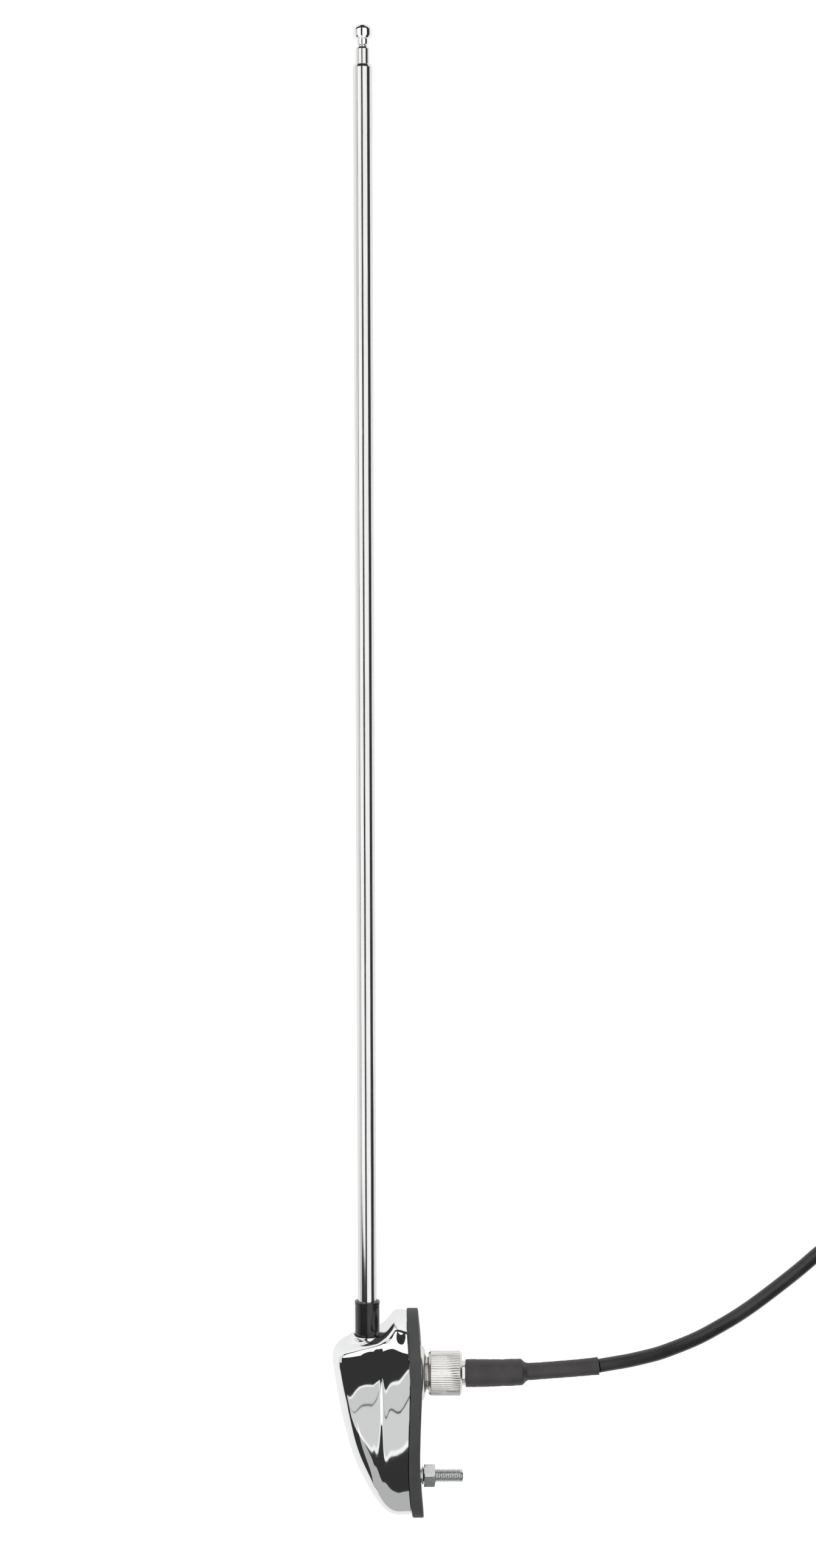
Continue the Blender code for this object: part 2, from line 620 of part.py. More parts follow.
def make_lead_connector():
    """The lead's connector: a knurled coupling nut that turns freely on a crimped body."""
    axis = (0, CONNECTOR_Y, 0)
    collar, wall = COUPLING_END_X, 12.5 * MM
    thread_bore, neck_bore = STEM_RADIUS + FIT_GAP, 4.65 * MM
    nut = [
        (COUPLING_RADIUS - 1.0 * MM, collar),
        (COUPLING_RADIUS, collar - 0.7 * MM),
        (COUPLING_RADIUS, COUPLING_START_X + 0.9 * MM),
        (COUPLING_RADIUS - 0.9 * MM, COUPLING_START_X),
        (thread_bore, COUPLING_START_X),
        (thread_bore, wall),
        (neck_bore, wall),
        (neck_bore, collar),
    ]
    turned("coupling_nut", nut, NICKEL, axis, ALONG_X, hollow=True, steps=48)
    bore = 2.6 * MM
    body = [
        (3.2 * MM, 27 * MM),
        (3.2 * MM, 15.7 * MM),
        (4.35 * MM, 15.7 * MM),
        (4.35 * MM, 12.2 * MM),
        (5.6 * MM, 12.2 * MM),
        (5.6 * MM, 10.8 * MM),
        (bore, 10.8 * MM),
        (bore, 27 * MM),
    ]
    turned("connector_body", body, NICKEL, axis, ALONG_X, hollow=True)
    pipe("connector_dielectric", 2.3 * MM, 1.0 * MM, 10.6 * MM, 19 * MM, WHITE_PLASTIC, axis, ALONG_X)
    drum("connector_pin", 0.75 * MM, 1.5 * MM, 20 * MM, BRASS, axis, ALONG_X, chamfer=0.2 * MM, steps=16)
    pipe("crimp_ferrule", 3.95 * MM, 3.5 * MM, 16 * MM, 27 * MM, COPPER, axis, ALONG_X)

    across = CONNECTOR_Y / MM
    spine = (
        (SHRINK_START_X / MM, 0.0, 0.0, 4.9), (22.0, 0.0, 0.0, 4.82), (29.0, 0.1, 0.0, 4.7), (34.5, 0.3, -0.1, 4.6),
        (36.0, 0.35, -0.15, 4.5), (37.4, 0.4, -0.2, 3.2), (38.2, 0.45, -0.25, 3.05), (46.0, 0.8, -0.75, 3.05),
        (55.0, 1.25, -1.6, 3.05), (61.5, 1.6, -2.45, 3.12), (63.2, 1.7, -2.65, 3.2),
    )
    points = [(x * MM, (across + y) * MM, z * MM) for x, y, z, _ in spine]
    sleeve = mesh_of(tube("heat_shrink", points, MM, SHRINK, [radius for *_, radius in spine], 4))
    boolean(sleeve, as_cutter(drum("shrink_bore", 4.2 * MM, 15 * MM, 28 * MM, SHRINK, axis, ALONG_X)))


def make_lead():
    """The coaxial lead, laid on the table: a loose run, a coil and its plug."""
    tube("lead", smooth_route(LEAD_ROUTE, 12 * MM), LEAD_RADIUS, PVC)
    inner = COIL_OUTER_TURN - COIL_TURNS_ACROSS * TURN_PITCH - LEAD_RADIUS
    outer = COIL_OUTER_TURN + LEAD_RADIUS
    low = TABLE_Z + COIL_LIFT
    high = low + 2 * LEAD_RADIUS + TURN_PITCH
    edge = 1.5 * MM
    ring = [
        (outer - edge, high),
        (outer, high - edge),
        (outer, low + edge),
        (outer - edge, low),
        (inner + edge, low),
        (inner, low + edge),
        (inner, high - edge),
        (inner + edge, high),
    ]
    turned("lead_coil", ring, PVC, (*COIL_CENTRE, 0), UPRIGHT, hollow=True, steps=48)

    wall, gap, width = 0.5 * MM, 0.15 * MM, 3.0 * MM
    across = (outer - inner) / 2
    loop = bmesh.new()
    bmesh.ops.create_cube(loop, size=1)
    bmesh.ops.scale(
        loop, vec=(2 * (across + gap + wall), width, high - low + 2 * (gap + wall)), verts=loop.verts
    )
    opening = bmesh.new()
    bmesh.ops.create_cube(opening, size=1)
    bmesh.ops.scale(
        opening, vec=(2 * (across + gap), 2 * width, high - low + 2 * gap), verts=opening.verts
    )
    place = (COIL_CENTRE[0], COIL_CENTRE[1] + (inner + outer) / 2, (low + high) / 2)
    pieces = []
    for name, shape in (("coil_tie", loop), ("tie_opening", opening)):
        mesh = bpy.data.meshes.new(name)
        shape.to_mesh(mesh)
        shape.free()
        pieces.append(add(name, mesh, BLACK_PLASTIC, place, (0, 0, math.pi / 2)))
    boolean(pieces[0], as_cutter(pieces[1]))

    tube("lead_tail", smooth_route(TAIL_ROUTE, 6 * MM), LEAD_RADIUS, PVC)
    end = tuple(value * MM for value in TAIL_ROUTE[-1])
    start = FIT_GAP
    boot = [
        (0, start + 22 * MM),
        (4.6 * MM, start + 22 * MM),
        (4.6 * MM, start + 16 * MM),
        (3.3 * MM, start + 1 * MM),
        (2.9 * MM, start),
        (0, start),
    ]
    turned("plug_boot", boot, BLACK_PLASTIC, end, AGAINST_Y, steps=24)
    shell_start = start + 22 * MM + FIT_GAP
    shell = [
        (4.3 * MM, shell_start + 24 * MM),
        (4.65 * MM, shell_start + 23 * MM),
        (4.65 * MM, shell_start + 4 * MM),
        (5.25 * MM, shell_start + 3.6 * MM),
        (5.25 * MM, shell_start),
        (2.0 * MM, shell_start),
        (2.0 * MM, shell_start + 8 * MM),
        (4.0 * MM, shell_start + 8 * MM),
        (4.0 * MM, shell_start + 24 * MM),
    ]
    turned("plug_shell", shell, NICKEL, end, AGAINST_Y, hollow=True)
    pipe(
        "plug_insulator", 3.7 * MM, 1.9 * MM, shell_start + 8.3 * MM, shell_start + 24.5 * MM, WHITE_PLASTIC,
        end, AGAINST_Y, steps=24,
    )
    pin = [
        (0, shell_start + 37 * MM),
        (1.0 * MM, shell_start + 36.7 * MM),
        (1.6 * MM, shell_start + 35.6 * MM),
        (1.6 * MM, shell_start + 0.5 * MM),
        (0, shell_start + 0.5 * MM),
    ]
    turned("plug_pin", pin, NICKEL, end, AGAINST_Y, steps=24)


clear_scene()
AERIAL = collection("telescopic_aerial")
CUTTERS = collection("cutters")
CUTTERS.hide_render = True

CHROME = finish("chrome plate", (0.86, 0.87, 0.88), 0.05, 1.0)
STAINLESS = finish("drawn stainless steel", (0.62, 0.61, 0.60), 0.22, 1.0)
NICKEL = finish("nickel plate", (0.80, 0.79, 0.76), 0.18, 1.0)
ZINC = finish("zinc plate", (0.72, 0.73, 0.74), 0.25, 1.0)
STEEL = finish("spring steel", (0.40, 0.40, 0.42), 0.35, 1.0)
BRASS = finish("brass", (0.80, 0.62, 0.30), 0.25, 1.0)
COPPER = finish("tinned copper", (0.70, 0.66, 0.60), 0.35, 1.0)
RUBBER = finish("pad rubber", (0.035, 0.036, 0.037), 0.75, 0.0)
BLACK_PLASTIC = finish("black plastic", (0.018, 0.018, 0.019), 0.30, 0.0)
WHITE_PLASTIC = finish("natural polyethylene", (0.80, 0.79, 0.75), 0.45, 0.0)
SHRINK = finish("heat-shrink sleeve", (0.030, 0.027, 0.027), 0.62, 0.0)
PVC = finish("lead sheath", (0.015, 0.015, 0.016), 0.28, 0.0)

make_base()
make_mast_foot()
make_mast()
make_connector()
make_fastening()
make_lead_connector()
make_lead()
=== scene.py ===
# %% [markdown]
# # A telescopic vehicle aerial
# This lesson dresses a finished mechanical model. The model gives every part its place and size.
# What we add is the surface that a hand or an eye would meet: chrome, drawn steel, knurling,
# threads, rubber and cable.

import math

import bmesh
import bpy
import numpy as np
from mathutils import Matrix, Vector


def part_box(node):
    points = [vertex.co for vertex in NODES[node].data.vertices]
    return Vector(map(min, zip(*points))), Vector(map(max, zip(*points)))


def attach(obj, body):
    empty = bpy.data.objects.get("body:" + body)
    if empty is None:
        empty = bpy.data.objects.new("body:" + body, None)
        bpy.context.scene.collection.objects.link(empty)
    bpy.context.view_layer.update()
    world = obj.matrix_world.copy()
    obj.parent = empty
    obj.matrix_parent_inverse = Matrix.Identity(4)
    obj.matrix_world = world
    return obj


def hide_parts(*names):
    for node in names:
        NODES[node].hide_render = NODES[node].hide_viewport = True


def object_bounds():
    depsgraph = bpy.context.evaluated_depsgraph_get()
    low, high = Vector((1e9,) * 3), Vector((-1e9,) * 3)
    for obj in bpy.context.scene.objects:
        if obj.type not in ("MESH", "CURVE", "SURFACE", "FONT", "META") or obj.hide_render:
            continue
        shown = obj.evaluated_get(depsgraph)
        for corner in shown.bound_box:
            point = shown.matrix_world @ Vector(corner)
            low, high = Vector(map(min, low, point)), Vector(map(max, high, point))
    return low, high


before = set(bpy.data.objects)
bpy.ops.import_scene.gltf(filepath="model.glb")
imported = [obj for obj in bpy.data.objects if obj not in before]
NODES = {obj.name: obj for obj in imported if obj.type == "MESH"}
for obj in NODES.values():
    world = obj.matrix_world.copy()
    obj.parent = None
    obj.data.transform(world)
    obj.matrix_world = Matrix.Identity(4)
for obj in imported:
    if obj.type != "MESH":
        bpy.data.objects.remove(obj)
CAD_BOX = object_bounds()
MM = 0.001

# %% [markdown]
# ## The table and the camera
# The aerial lies on its side, so the table is under the edge of its rubber pad. The camera hangs a
# metre above, a little beyond the middle of the mast, and looks back towards the base. A long lens
# keeps the mast straight.

# %% Camera
PAD_LOW, PAD_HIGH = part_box("rubber_pad")
STUD_LOW, STUD_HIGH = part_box("mounting_stud")
STEM_LOW, STEM_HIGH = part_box("connector_stem")
TUBE_LOW, TUBE_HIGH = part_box("mast_outer_tube")
TABLE_Z = CAD_BOX[0].z
MAST_X = (TUBE_LOW.x + TUBE_HIGH.x) / 2
STEM_Y = (STEM_LOW.y + STEM_HIGH.y) / 2
STUD_Y = (STUD_LOW.y + STUD_HIGH.y) / 2

CAMERA_PLACE = (-0.0041, 0.33875, 1.064)
CAMERA_LENS, CAMERA_SENSOR = 70.39, 36.0
CAMERA_TILT, CAMERA_ROLL = -5.86, -0.135

camera_data = bpy.data.cameras.new("studio_camera")
camera_data.sensor_width = CAMERA_SENSOR
camera_data.lens = CAMERA_LENS
camera = bpy.data.objects.new("studio_camera", camera_data)
bpy.context.scene.collection.objects.link(camera)
tilt = Matrix.Rotation(math.radians(CAMERA_TILT), 4, "X")
roll = Matrix.Rotation(math.radians(CAMERA_ROLL), 4, "Z")
camera.matrix_world = Matrix.Translation(CAMERA_PLACE) @ tilt @ roll
bpy.context.scene.camera = camera
print("the table is at", round(TABLE_Z / MM, 2), "mm")
print("the mast is at x", round(MAST_X / MM, 2), "mm")

# %% [markdown]
# ## Helpers for surfaces
# Every new piece is a grid of points, worked out as whole arrays. A grid that closes on itself
# makes a tube, and one whose first and last rows shrink to a point makes a closed body.

# %% From a grid of points to a mesh


def grid_piece(name, points, smooth_angle=40.0):
    """Quads between neighbouring rows and columns of points, joined round the columns.

    The array's shape is (rows, columns, 3). Rows that shrink to one point are merged into a pole.
    """
    rows, columns = points.shape[:2]
    index = np.arange(rows * columns).reshape(rows, columns)
    index = np.column_stack([index, index[:, 0]])
    quads = np.stack([index[:-1, :-1], index[:-1, 1:], index[1:, 1:], index[1:, :-1]], axis=-1)
    mesh = bpy.data.meshes.new(name)
    mesh.from_pydata(points.reshape(-1, 3), [], quads.reshape(-1, 4))
    return finished(name, mesh, smooth_angle)


def finished(name, mesh, smooth_angle=40.0):
    """The mesh as an object: doubles merged, faces outwards, smooth but for its sharp edges."""
    shape = bmesh.new()
    shape.from_mesh(mesh)
    bmesh.ops.remove_doubles(shape, verts=shape.verts, dist=1e-7)
    bmesh.ops.recalc_face_normals(shape, faces=shape.faces)
    shape.to_mesh(mesh)
    shape.free()
    mesh.shade_smooth()
    mesh.set_sharp_from_angle(angle=math.radians(smooth_angle))
    piece = bpy.data.objects.new(name, mesh)
    bpy.context.scene.collection.objects.link(piece)
    return piece


# %% [markdown]
# ### Turned pieces
# A lathe never leaves a perfectly sharp corner. `rounded` swaps each corner of a profile for a
# small arc, with a point just beyond either end of it, so that the flats stay flat when they are
# shaded smooth.

# %% Profiles and turning
SUPPORT = 0.06


def rounded(corners, radius=0.15, steps=4):
    """The (radius, height) corners with arcs in place of their inner corners, in mm.

    Each arc is a quadratic curve. It starts and ends `radius` from its corner, or a third of the
    shorter side where that is less.
    """
    corners = np.asarray(corners, float)
    line = [corners[:1]]
    t = np.linspace(0, 1, steps + 1)[:, None]
    for before, corner, after in zip(corners, corners[1:], corners[2:]):
        back, ahead = before - corner, after - corner
        reach_back, reach_ahead = np.linalg.norm(back), np.linalg.norm(ahead)
        reach = min(radius, reach_back / 3, reach_ahead / 3)
        back, ahead = back / reach_back, ahead / reach_ahead
        start, end = corner + back * reach, corner + ahead * reach
        extra = min(SUPPORT, reach)
        arc = start * (1 - t) ** 2 + corner * 2 * t * (1 - t) + end * t**2
        line += [(start + back * extra)[None], arc, (end + ahead * extra)[None]]
    return np.concatenate([*line, corners[-1:]])


def frame_along(axis):
    """Two unit vectors across and one along a lathe's spindle, which points along X, Y or -Y."""
    along = {"X": (1, 0, 0), "Y": (0, 1, 0), "-Y": (0, -1, 0)}[axis]
    first = (0, 0, 1)
    return np.array([first, np.cross(along, first), along], float)


def spun(profile, axis, centre, segments=96, radius_of=None):
    """A profile of (radius, height) in mm spun about an axis: centre + r cos a, r sin a, h.

    radius_of(radius, height, angle) may change the radius over the surface, as a thread does.
    """
    radius, height = np.asarray(profile, float).T
    angle = np.linspace(0, 2 * np.pi, segments, endpoint=False)
    radius, height, angle = radius[:, None], height[:, None], angle[None]
    if radius_of:
        radius = radius_of(radius, height, angle)
    radius, height, angle = np.broadcast_arrays(radius, height, angle)
    local = np.stack([radius * np.cos(angle), radius * np.sin(angle), height], axis=-1)
    return (np.asarray(centre, float) + local @ frame_along(axis)) * MM


def turned(name, corners, axis, centre, radius=0.15, segments=96):
    """A turned piece from its (radius, height) corners, which may end where they start."""
    return grid_piece(name, spun(rounded(corners, radius), axis, centre, segments))


def ring_profile(corners):
    """A closed profile that starts and ends in the middle of its first side."""
    corners = [np.asarray(corner, float) for corner in corners]
    middle = (corners[0] + corners[-1]) / 2
    return [middle, *corners, middle]


def own_mesh(piece):
    """The piece's evaluated mesh in place of its own, with no modifiers left."""
    graph = bpy.context.evaluated_depsgraph_get()
    mesh = bpy.data.meshes.new_from_object(piece.evaluated_get(graph))
    piece.modifiers.clear()
    piece.data = mesh
    return mesh


def cut(piece, *cutters):
    """The piece with each cutter taken out of it. The cutters are removed."""
    for cutter in cutters:
        change = piece.modifiers.new("Cut", "BOOLEAN")
        change.object = cutter
        change.solver = "EXACT"
    own_mesh(piece)
    for cutter in cutters:
        bpy.data.objects.remove(cutter)
    piece.data.set_sharp_from_angle(angle=math.radians(30))
    return piece


def smooth_through(rows, count):
    """A natural cubic spline through the rows, sampled at count even steps from first to last."""
    rows = np.asarray(rows, float)
    n = len(rows)
    bend = np.eye(n) * 4 + np.eye(n, k=1) + np.eye(n, k=-1)
    bend[0], bend[-1] = np.eye(n)[0], np.eye(n)[-1]
    change = np.zeros_like(rows)
    change[1:-1] = 6 * (rows[2:] - 2 * rows[1:-1] + rows[:-2])
    second = np.linalg.solve(bend, change)
    t = np.linspace(0, n - 1, count)
    i = np.minimum(t.astype(int), n - 2)
    b = (t - i)[:, None]
    a = 1 - b
    straight = a * rows[i] + b * rows[i + 1]
    return straight + ((a**3 - a) * second[i] + (b**3 - b) * second[i + 1]) / 6


# %% [markdown]
# ## The lead
# The lead is made before the rest, because its real length decides how much room it takes. It is
# one coaxial cable. It leaves its sleeve, comes down to the table in an easy curve, and its spare
# length is wound in a flat coil of two layers with a band round it. One curve runs through all of
# that, so it can't be too long or short.

# %% The lead's route
LEAD_RADIUS = 2.475
LEAD_EXIT = (63.5, 20.5, -2.7)
LEAD_ROUTE = (
    LEAD_EXIT, (69.0, 21.1, -3.9), (74.0, 21.6, -5.1), (79.5, 22.4, -6.5), (85.0, 23.4, -7.9),
    (90.0, 24.7, -9.4), (95.5, 26.4, -10.9), (101.0, 28.5, -12.2), (106.0, 30.9, -13.3),
    (111.5, 33.8, -14.3), (117.0, 37.2, -14.9), (122.0, 40.7, -15.3), (127.0, 44.5, -15.5),
    (132.5, 48.9, -15.5), (138.0, 53.5, -15.5), (142.5, 57.5, -15.5), (146.8, 61.3, -15.4),
    (152.0, 65.9, -15.2),
)
TAIL_ROUTE = (
    (222.0, 32.0, -10.4), (222.0, 26.5, -10.9), (222.0, 21.0, -11.8), (221.8, 15.0, -12.5),
    (221.5, 9.0, -12.75), (221.4, 4.0, -12.75), (221.4, -2.0, -12.75),
)
COIL_CENTRE = (186.0, 48.0)
COIL_OUTER, COIL_PITCH, COIL_LIFT = 36.0, 5.05, 0.7
COIL_START, COIL_TURNS = math.radians(131.6), 6
COIL_LOW = TABLE_Z / MM + COIL_LIFT + LEAD_RADIUS
LAYER_CHANGE, TURN_BACK = 0.4, 0.05
LEAD_STEP = 1.6


def coil_points():
    """Two flat spirals, one on the other, in mm.

    The radius falls by a pitch a turn to the middle, then rises again on a layer one pitch higher.
    The layer changes about the middle, on a smooth step in height.
    """
    sweep = COIL_START + 2 * math.pi * COIL_TURNS
    turns = np.linspace(0, sweep / (2 * math.pi), 520)
    middle = turns[-1] / 2
    from_middle = np.sqrt((turns - middle) ** 2 + TURN_BACK**2)
    radius = COIL_OUTER - COIL_PITCH * (middle - from_middle)
    rise = np.clip((turns - middle) / LAYER_CHANGE + 0.5, 0, 1)
    height = COIL_LOW + COIL_PITCH * rise**2 * (3 - 2 * rise)
    angle = COIL_START - 2 * math.pi * turns
    x = COIL_CENTRE[0] + radius * np.cos(angle)
    y = COIL_CENTRE[1] + radius * np.sin(angle)
    return np.stack([x, y, height], axis=1)


def even_steps(points, step):
    """The same line with its points a step apart, and its length."""
    gone = np.concatenate([[0], np.cumsum(np.linalg.norm(np.diff(points, axis=0), axis=1))])
    marks = np.linspace(0, gone[-1], int(gone[-1] / step) + 1)
    return np.stack([np.interp(marks, gone, points[:, k]) for k in range(3)], axis=1), gone[-1]


# The splines at both ends run into a few of the coil's own points, so they meet it in line.
coil = coil_points()
lead_start = smooth_through([*LEAD_ROUTE, *coil[6:14:3]], 260)
tail_end = smooth_through([*coil[-14:-6:3], *TAIL_ROUTE], 120)
whole = np.concatenate([lead_start[:-2], coil[13:-13], tail_end[2:]])
lead_line, lead_length = even_steps(whole, LEAD_STEP)
lead_curve = bpy.data.curves.new("coaxial_lead", "CURVE")
lead_curve.dimensions = "3D"
lead_curve.bevel_depth = 1.0  # times the radius of each point, set below
lead_curve.bevel_resolution = 6
lead_curve.use_fill_caps = True
lead_spline = lead_curve.splines.new("POLY")
lead_spline.points.add(len(lead_line) - 1)
places = np.column_stack([lead_line * MM, np.ones(len(lead_line))])
lead_spline.points.foreach_set("co", places.ravel())
lead_spline.points.foreach_set("radius", np.full(len(lead_line), LEAD_RADIUS * MM))
lead_spline.use_smooth = True
lead = bpy.data.objects.new("coaxial_lead", lead_curve)
bpy.context.scene.collection.objects.link(lead)
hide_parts("lead", "lead_coil", "lead_tail")
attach(lead, "root")
print("the lead is", round(lead_length / 1000, 3), "m long")

# %% [markdown]
# ## Finishes
# A finish is more than a colour. Each one below starts from a metal or a polymer, and then takes
# what making and handling leave on it. Four shader groups hold what several finishes share: fine
# grain, drawn lines, specks and smudges. A group gives back masks and values only, and each
# material decides what to do with them.

# %% Shader groups
GROUPS = {}


def group(name, inputs, outputs):
    """An empty shader group with named float sockets, and its input and output nodes."""
    tree = bpy.data.node_groups.new(name, "ShaderNodeTree")
    for label, value in inputs.items():
        socket = tree.interface.new_socket(label, in_out="INPUT", socket_type="NodeSocketFloat")
        socket.default_value = value
    for label in outputs:
        tree.interface.new_socket(label, in_out="OUTPUT", socket_type="NodeSocketFloat")
    GROUPS[name] = tree
    return tree, tree.nodes.new("NodeGroupInput"), tree.nodes.new("NodeGroupOutput")


def node(tree, kind, **settings):
    """A node with its settings. A setting whose name is a socket's sets that socket."""
    made = tree.nodes.new(kind)
    for label, value in settings.items():
        words = label.replace("_", " ").title()
        if words in made.inputs:
            made.inputs[words].default_value = value
        else:
            setattr(made, label, value)
    return made


def stretched_position(tree, stretch):
    """Object coordinates scaled differently along each axis, which draws a pattern out."""
    place = node(tree, "ShaderNodeTexCoord")
    scaling = node(tree, "ShaderNodeMapping", scale=stretch)
    tree.links.new(place.outputs["Object"], scaling.inputs["Vector"])
    return scaling.outputs["Vector"]


def ranged(tree, source, low, high, to_low=0.0, to_high=1.0):
    """The source moved from one range to another, and held inside it."""
    change = node(tree, "ShaderNodeMapRange")
    limits = {"From Min": low, "From Max": high, "To Min": to_low, "To Max": to_high}
    for label, value in limits.items():
        change.inputs[label].default_value = value
    tree.links.new(source, change.inputs["Value"])
    return change.outputs["Result"]


def noise_group(name, stretch, detail):
    """A group that gives back noise drawn out by stretch, as a value from 0 to 1."""
    tree, given, result = group(name, {"Scale": 1000.0}, ["Value"])
    noise = node(tree, "ShaderNodeTexNoise", detail=detail, roughness=0.6)
    tree.links.new(stretched_position(tree, stretch), noise.inputs["Vector"])
    tree.links.new(given.outputs["Scale"], noise.inputs["Scale"])
    tree.links.new(noise.outputs["Fac"], result.inputs["Value"])


noise_group("Grain", (1, 1, 1), 4.0)
noise_group("Draw lines", (1, 0.012, 1), 3.0)
noise_group("Smudges", (1, 0.6, 1), 2.0)

speck_inputs = {"Scale": 300.0, "Size": 0.1, "Share": 0.1}
speck_tree, speck_in, speck_out = group("Specks", speck_inputs, ["Mask"])
cells = node(speck_tree, "ShaderNodeTexVoronoi", feature="F1")
speck_tree.links.new(stretched_position(speck_tree, (1, 1, 1)), cells.inputs["Vector"])
speck_tree.links.new(speck_in.outputs["Scale"], cells.inputs["Scale"])
inside = node(speck_tree, "ShaderNodeMath", operation="LESS_THAN")
speck_tree.links.new(cells.outputs["Distance"], inside.inputs[0])
speck_tree.links.new(speck_in.outputs["Size"], inside.inputs[1])
chosen = node(speck_tree, "ShaderNodeMath", operation="LESS_THAN")
shade = node(speck_tree, "ShaderNodeSeparateColor")
speck_tree.links.new(cells.outputs["Color"], shade.inputs["Color"])
speck_tree.links.new(shade.outputs["Red"], chosen.inputs[0])
speck_tree.links.new(speck_in.outputs["Share"], chosen.inputs[1])
both = node(speck_tree, "ShaderNodeMath", operation="MULTIPLY")
speck_tree.links.new(inside.outputs[0], both.inputs[0])
speck_tree.links.new(chosen.outputs[0], both.inputs[1])
speck_tree.links.new(both.outputs[0], speck_out.inputs["Mask"])
print("shader groups:", ", ".join(GROUPS))

# %% [markdown]
# Every material is built by the same small set of steps: place a group, mix two colours by it, let
# it change the roughness, and let it raise a bump of a stated height in millimetres.

# %% Steps for building a material


def use_group(tree, name, **values):
    """The output of a shader group placed in the tree, with its inputs set."""
    placed = tree.nodes.new("ShaderNodeGroup")
    placed.node_tree = GROUPS[name]
    for label, value in values.items():
        placed.inputs[label.title()].default_value = value
    return placed.outputs[0]


def start(name, colour, roughness, metallic=0.0):
    """A new material and its Principled shader, with constants set on the shader's own sockets."""
    material = bpy.data.materials.new(name)
    material.use_nodes = True
    tree = material.node_tree
    shader = tree.nodes["Principled BSDF"]
    shader.inputs["Base Color"].default_value = (*colour, 1)
    shader.inputs["Roughness"].default_value = roughness
    shader.inputs["Metallic"].default_value = metallic
    material.diffuse_color = (*colour, 1)
    return material, tree, shader


def colour_sockets(sockets):
    """The colour sockets among the many that a Mix node has."""
    return [socket for socket in sockets if socket.type == "RGBA"]


def two_colours(tree, shader, mask, first, second):
    """Base colour from first to second as the mask goes from 0 to 1."""
    blend = node(tree, "ShaderNodeMix", data_type="RGBA")
    low, high = colour_sockets(blend.inputs)
    low.default_value, high.default_value = (*first, 1), (*second, 1)
    tree.links.new(mask, blend.inputs["Factor"])
    result = colour_sockets(blend.outputs)[0]
    tree.links.new(result, shader.inputs["Base Color"])
    return result


def bump(tree, shader, *layers):
    """Bumps one on another: each layer is (value, height in mm)."""
    below = None
    for value, height in layers:
        layer = node(tree, "ShaderNodeBump", distance=height * MM)
        tree.links.new(value, layer.inputs["Height"])
        if below:
            tree.links.new(below, layer.inputs["Normal"])
        below = layer.outputs["Normal"]
    tree.links.new(below, shader.inputs["Normal"])


# %% [markdown]
# ### Metals
# Chrome is nearly a mirror: what shows is the room. It only takes faint smudges and a few pits from
# the casting under it. The drawn steel of the mast has long fine lines. Nickel and zinc are a
# little rougher and warmer.

# %% Metal finishes
PIT_COLOUR, PIT_DEPTH = (0.25, 0.25, 0.25), 0.02


def metal(name, colour, roughness, spread, grain_scale, grain_height, lines=False, pits=None):
    """A plated or drawn metal. Its roughness varies by spread, and grain or lines add a bump.

    Pits are given as (scale, size, share): small dark hollows in the plating.
    """
    material, tree, shader = start(name, colour, roughness, 1.0)
    smudges = use_group(tree, "Smudges", scale=90.0)
    texture = use_group(tree, "Draw lines" if lines else "Grain", scale=grain_scale)
    mixed = node(tree, "ShaderNodeMath", operation="MULTIPLY")
    tree.links.new(smudges, mixed.inputs[0])
    tree.links.new(texture, mixed.inputs[1])
    tree.links.new(
        ranged(tree, mixed.outputs[0], 0.1, 0.45, roughness - spread / 2, roughness + spread),
        shader.inputs["Roughness"],
    )
    layers = [(texture, grain_height)]
    if pits:
        scale, size, share = pits
        mask = use_group(tree, "Specks", scale=scale, size=size, share=share)
        two_colours(tree, shader, mask, colour, PIT_COLOUR)
        layers.append((mask, -PIT_DEPTH))
    else:
        darker = tuple(0.9 * channel for channel in colour)
        two_colours(tree, shader, ranged(tree, texture, 0.35, 0.75), colour, darker)
    bump(tree, shader, *layers)
    return material


CHROME = metal(
    "bright chrome", (0.88, 0.885, 0.89), 0.035, 0.02, 700.0, 0.0006, pits=(420.0, 0.055, 0.05)
)
STAINLESS = metal(
    "drawn stainless", (0.80, 0.795, 0.79), 0.12, 0.06, 2600.0, 0.004, lines=True
)
NICKEL = metal("nickel plate", (0.80, 0.785, 0.76), 0.16, 0.08, 2200.0, 0.006)
ZINC = metal("zinc plate", (0.74, 0.745, 0.75), 0.20, 0.10, 1500.0, 0.008)
SPRING = metal("spring steel", (0.40, 0.40, 0.42), 0.32, 0.1, 1500.0, 0.008)
BRASS = metal("turned brass", (0.80, 0.60, 0.28), 0.24, 0.1, 1800.0, 0.006)
COPPER = metal("tinned copper", (0.70, 0.66, 0.60), 0.34, 0.1, 1500.0, 0.01)

# %% [markdown]
# ### Rubber and plastics
# The pad is matt moulded rubber that holds a little dust. The sleeve of the mast and the plug's
# boot are glossy mouldings. The heat-shrink sleeve is a matt warm black with a faint ripple, and
# the cable's sheath shines softly.

# %% Polymer finishes
DUST_COLOUR = (0.75, 0.75, 0.75, 1)


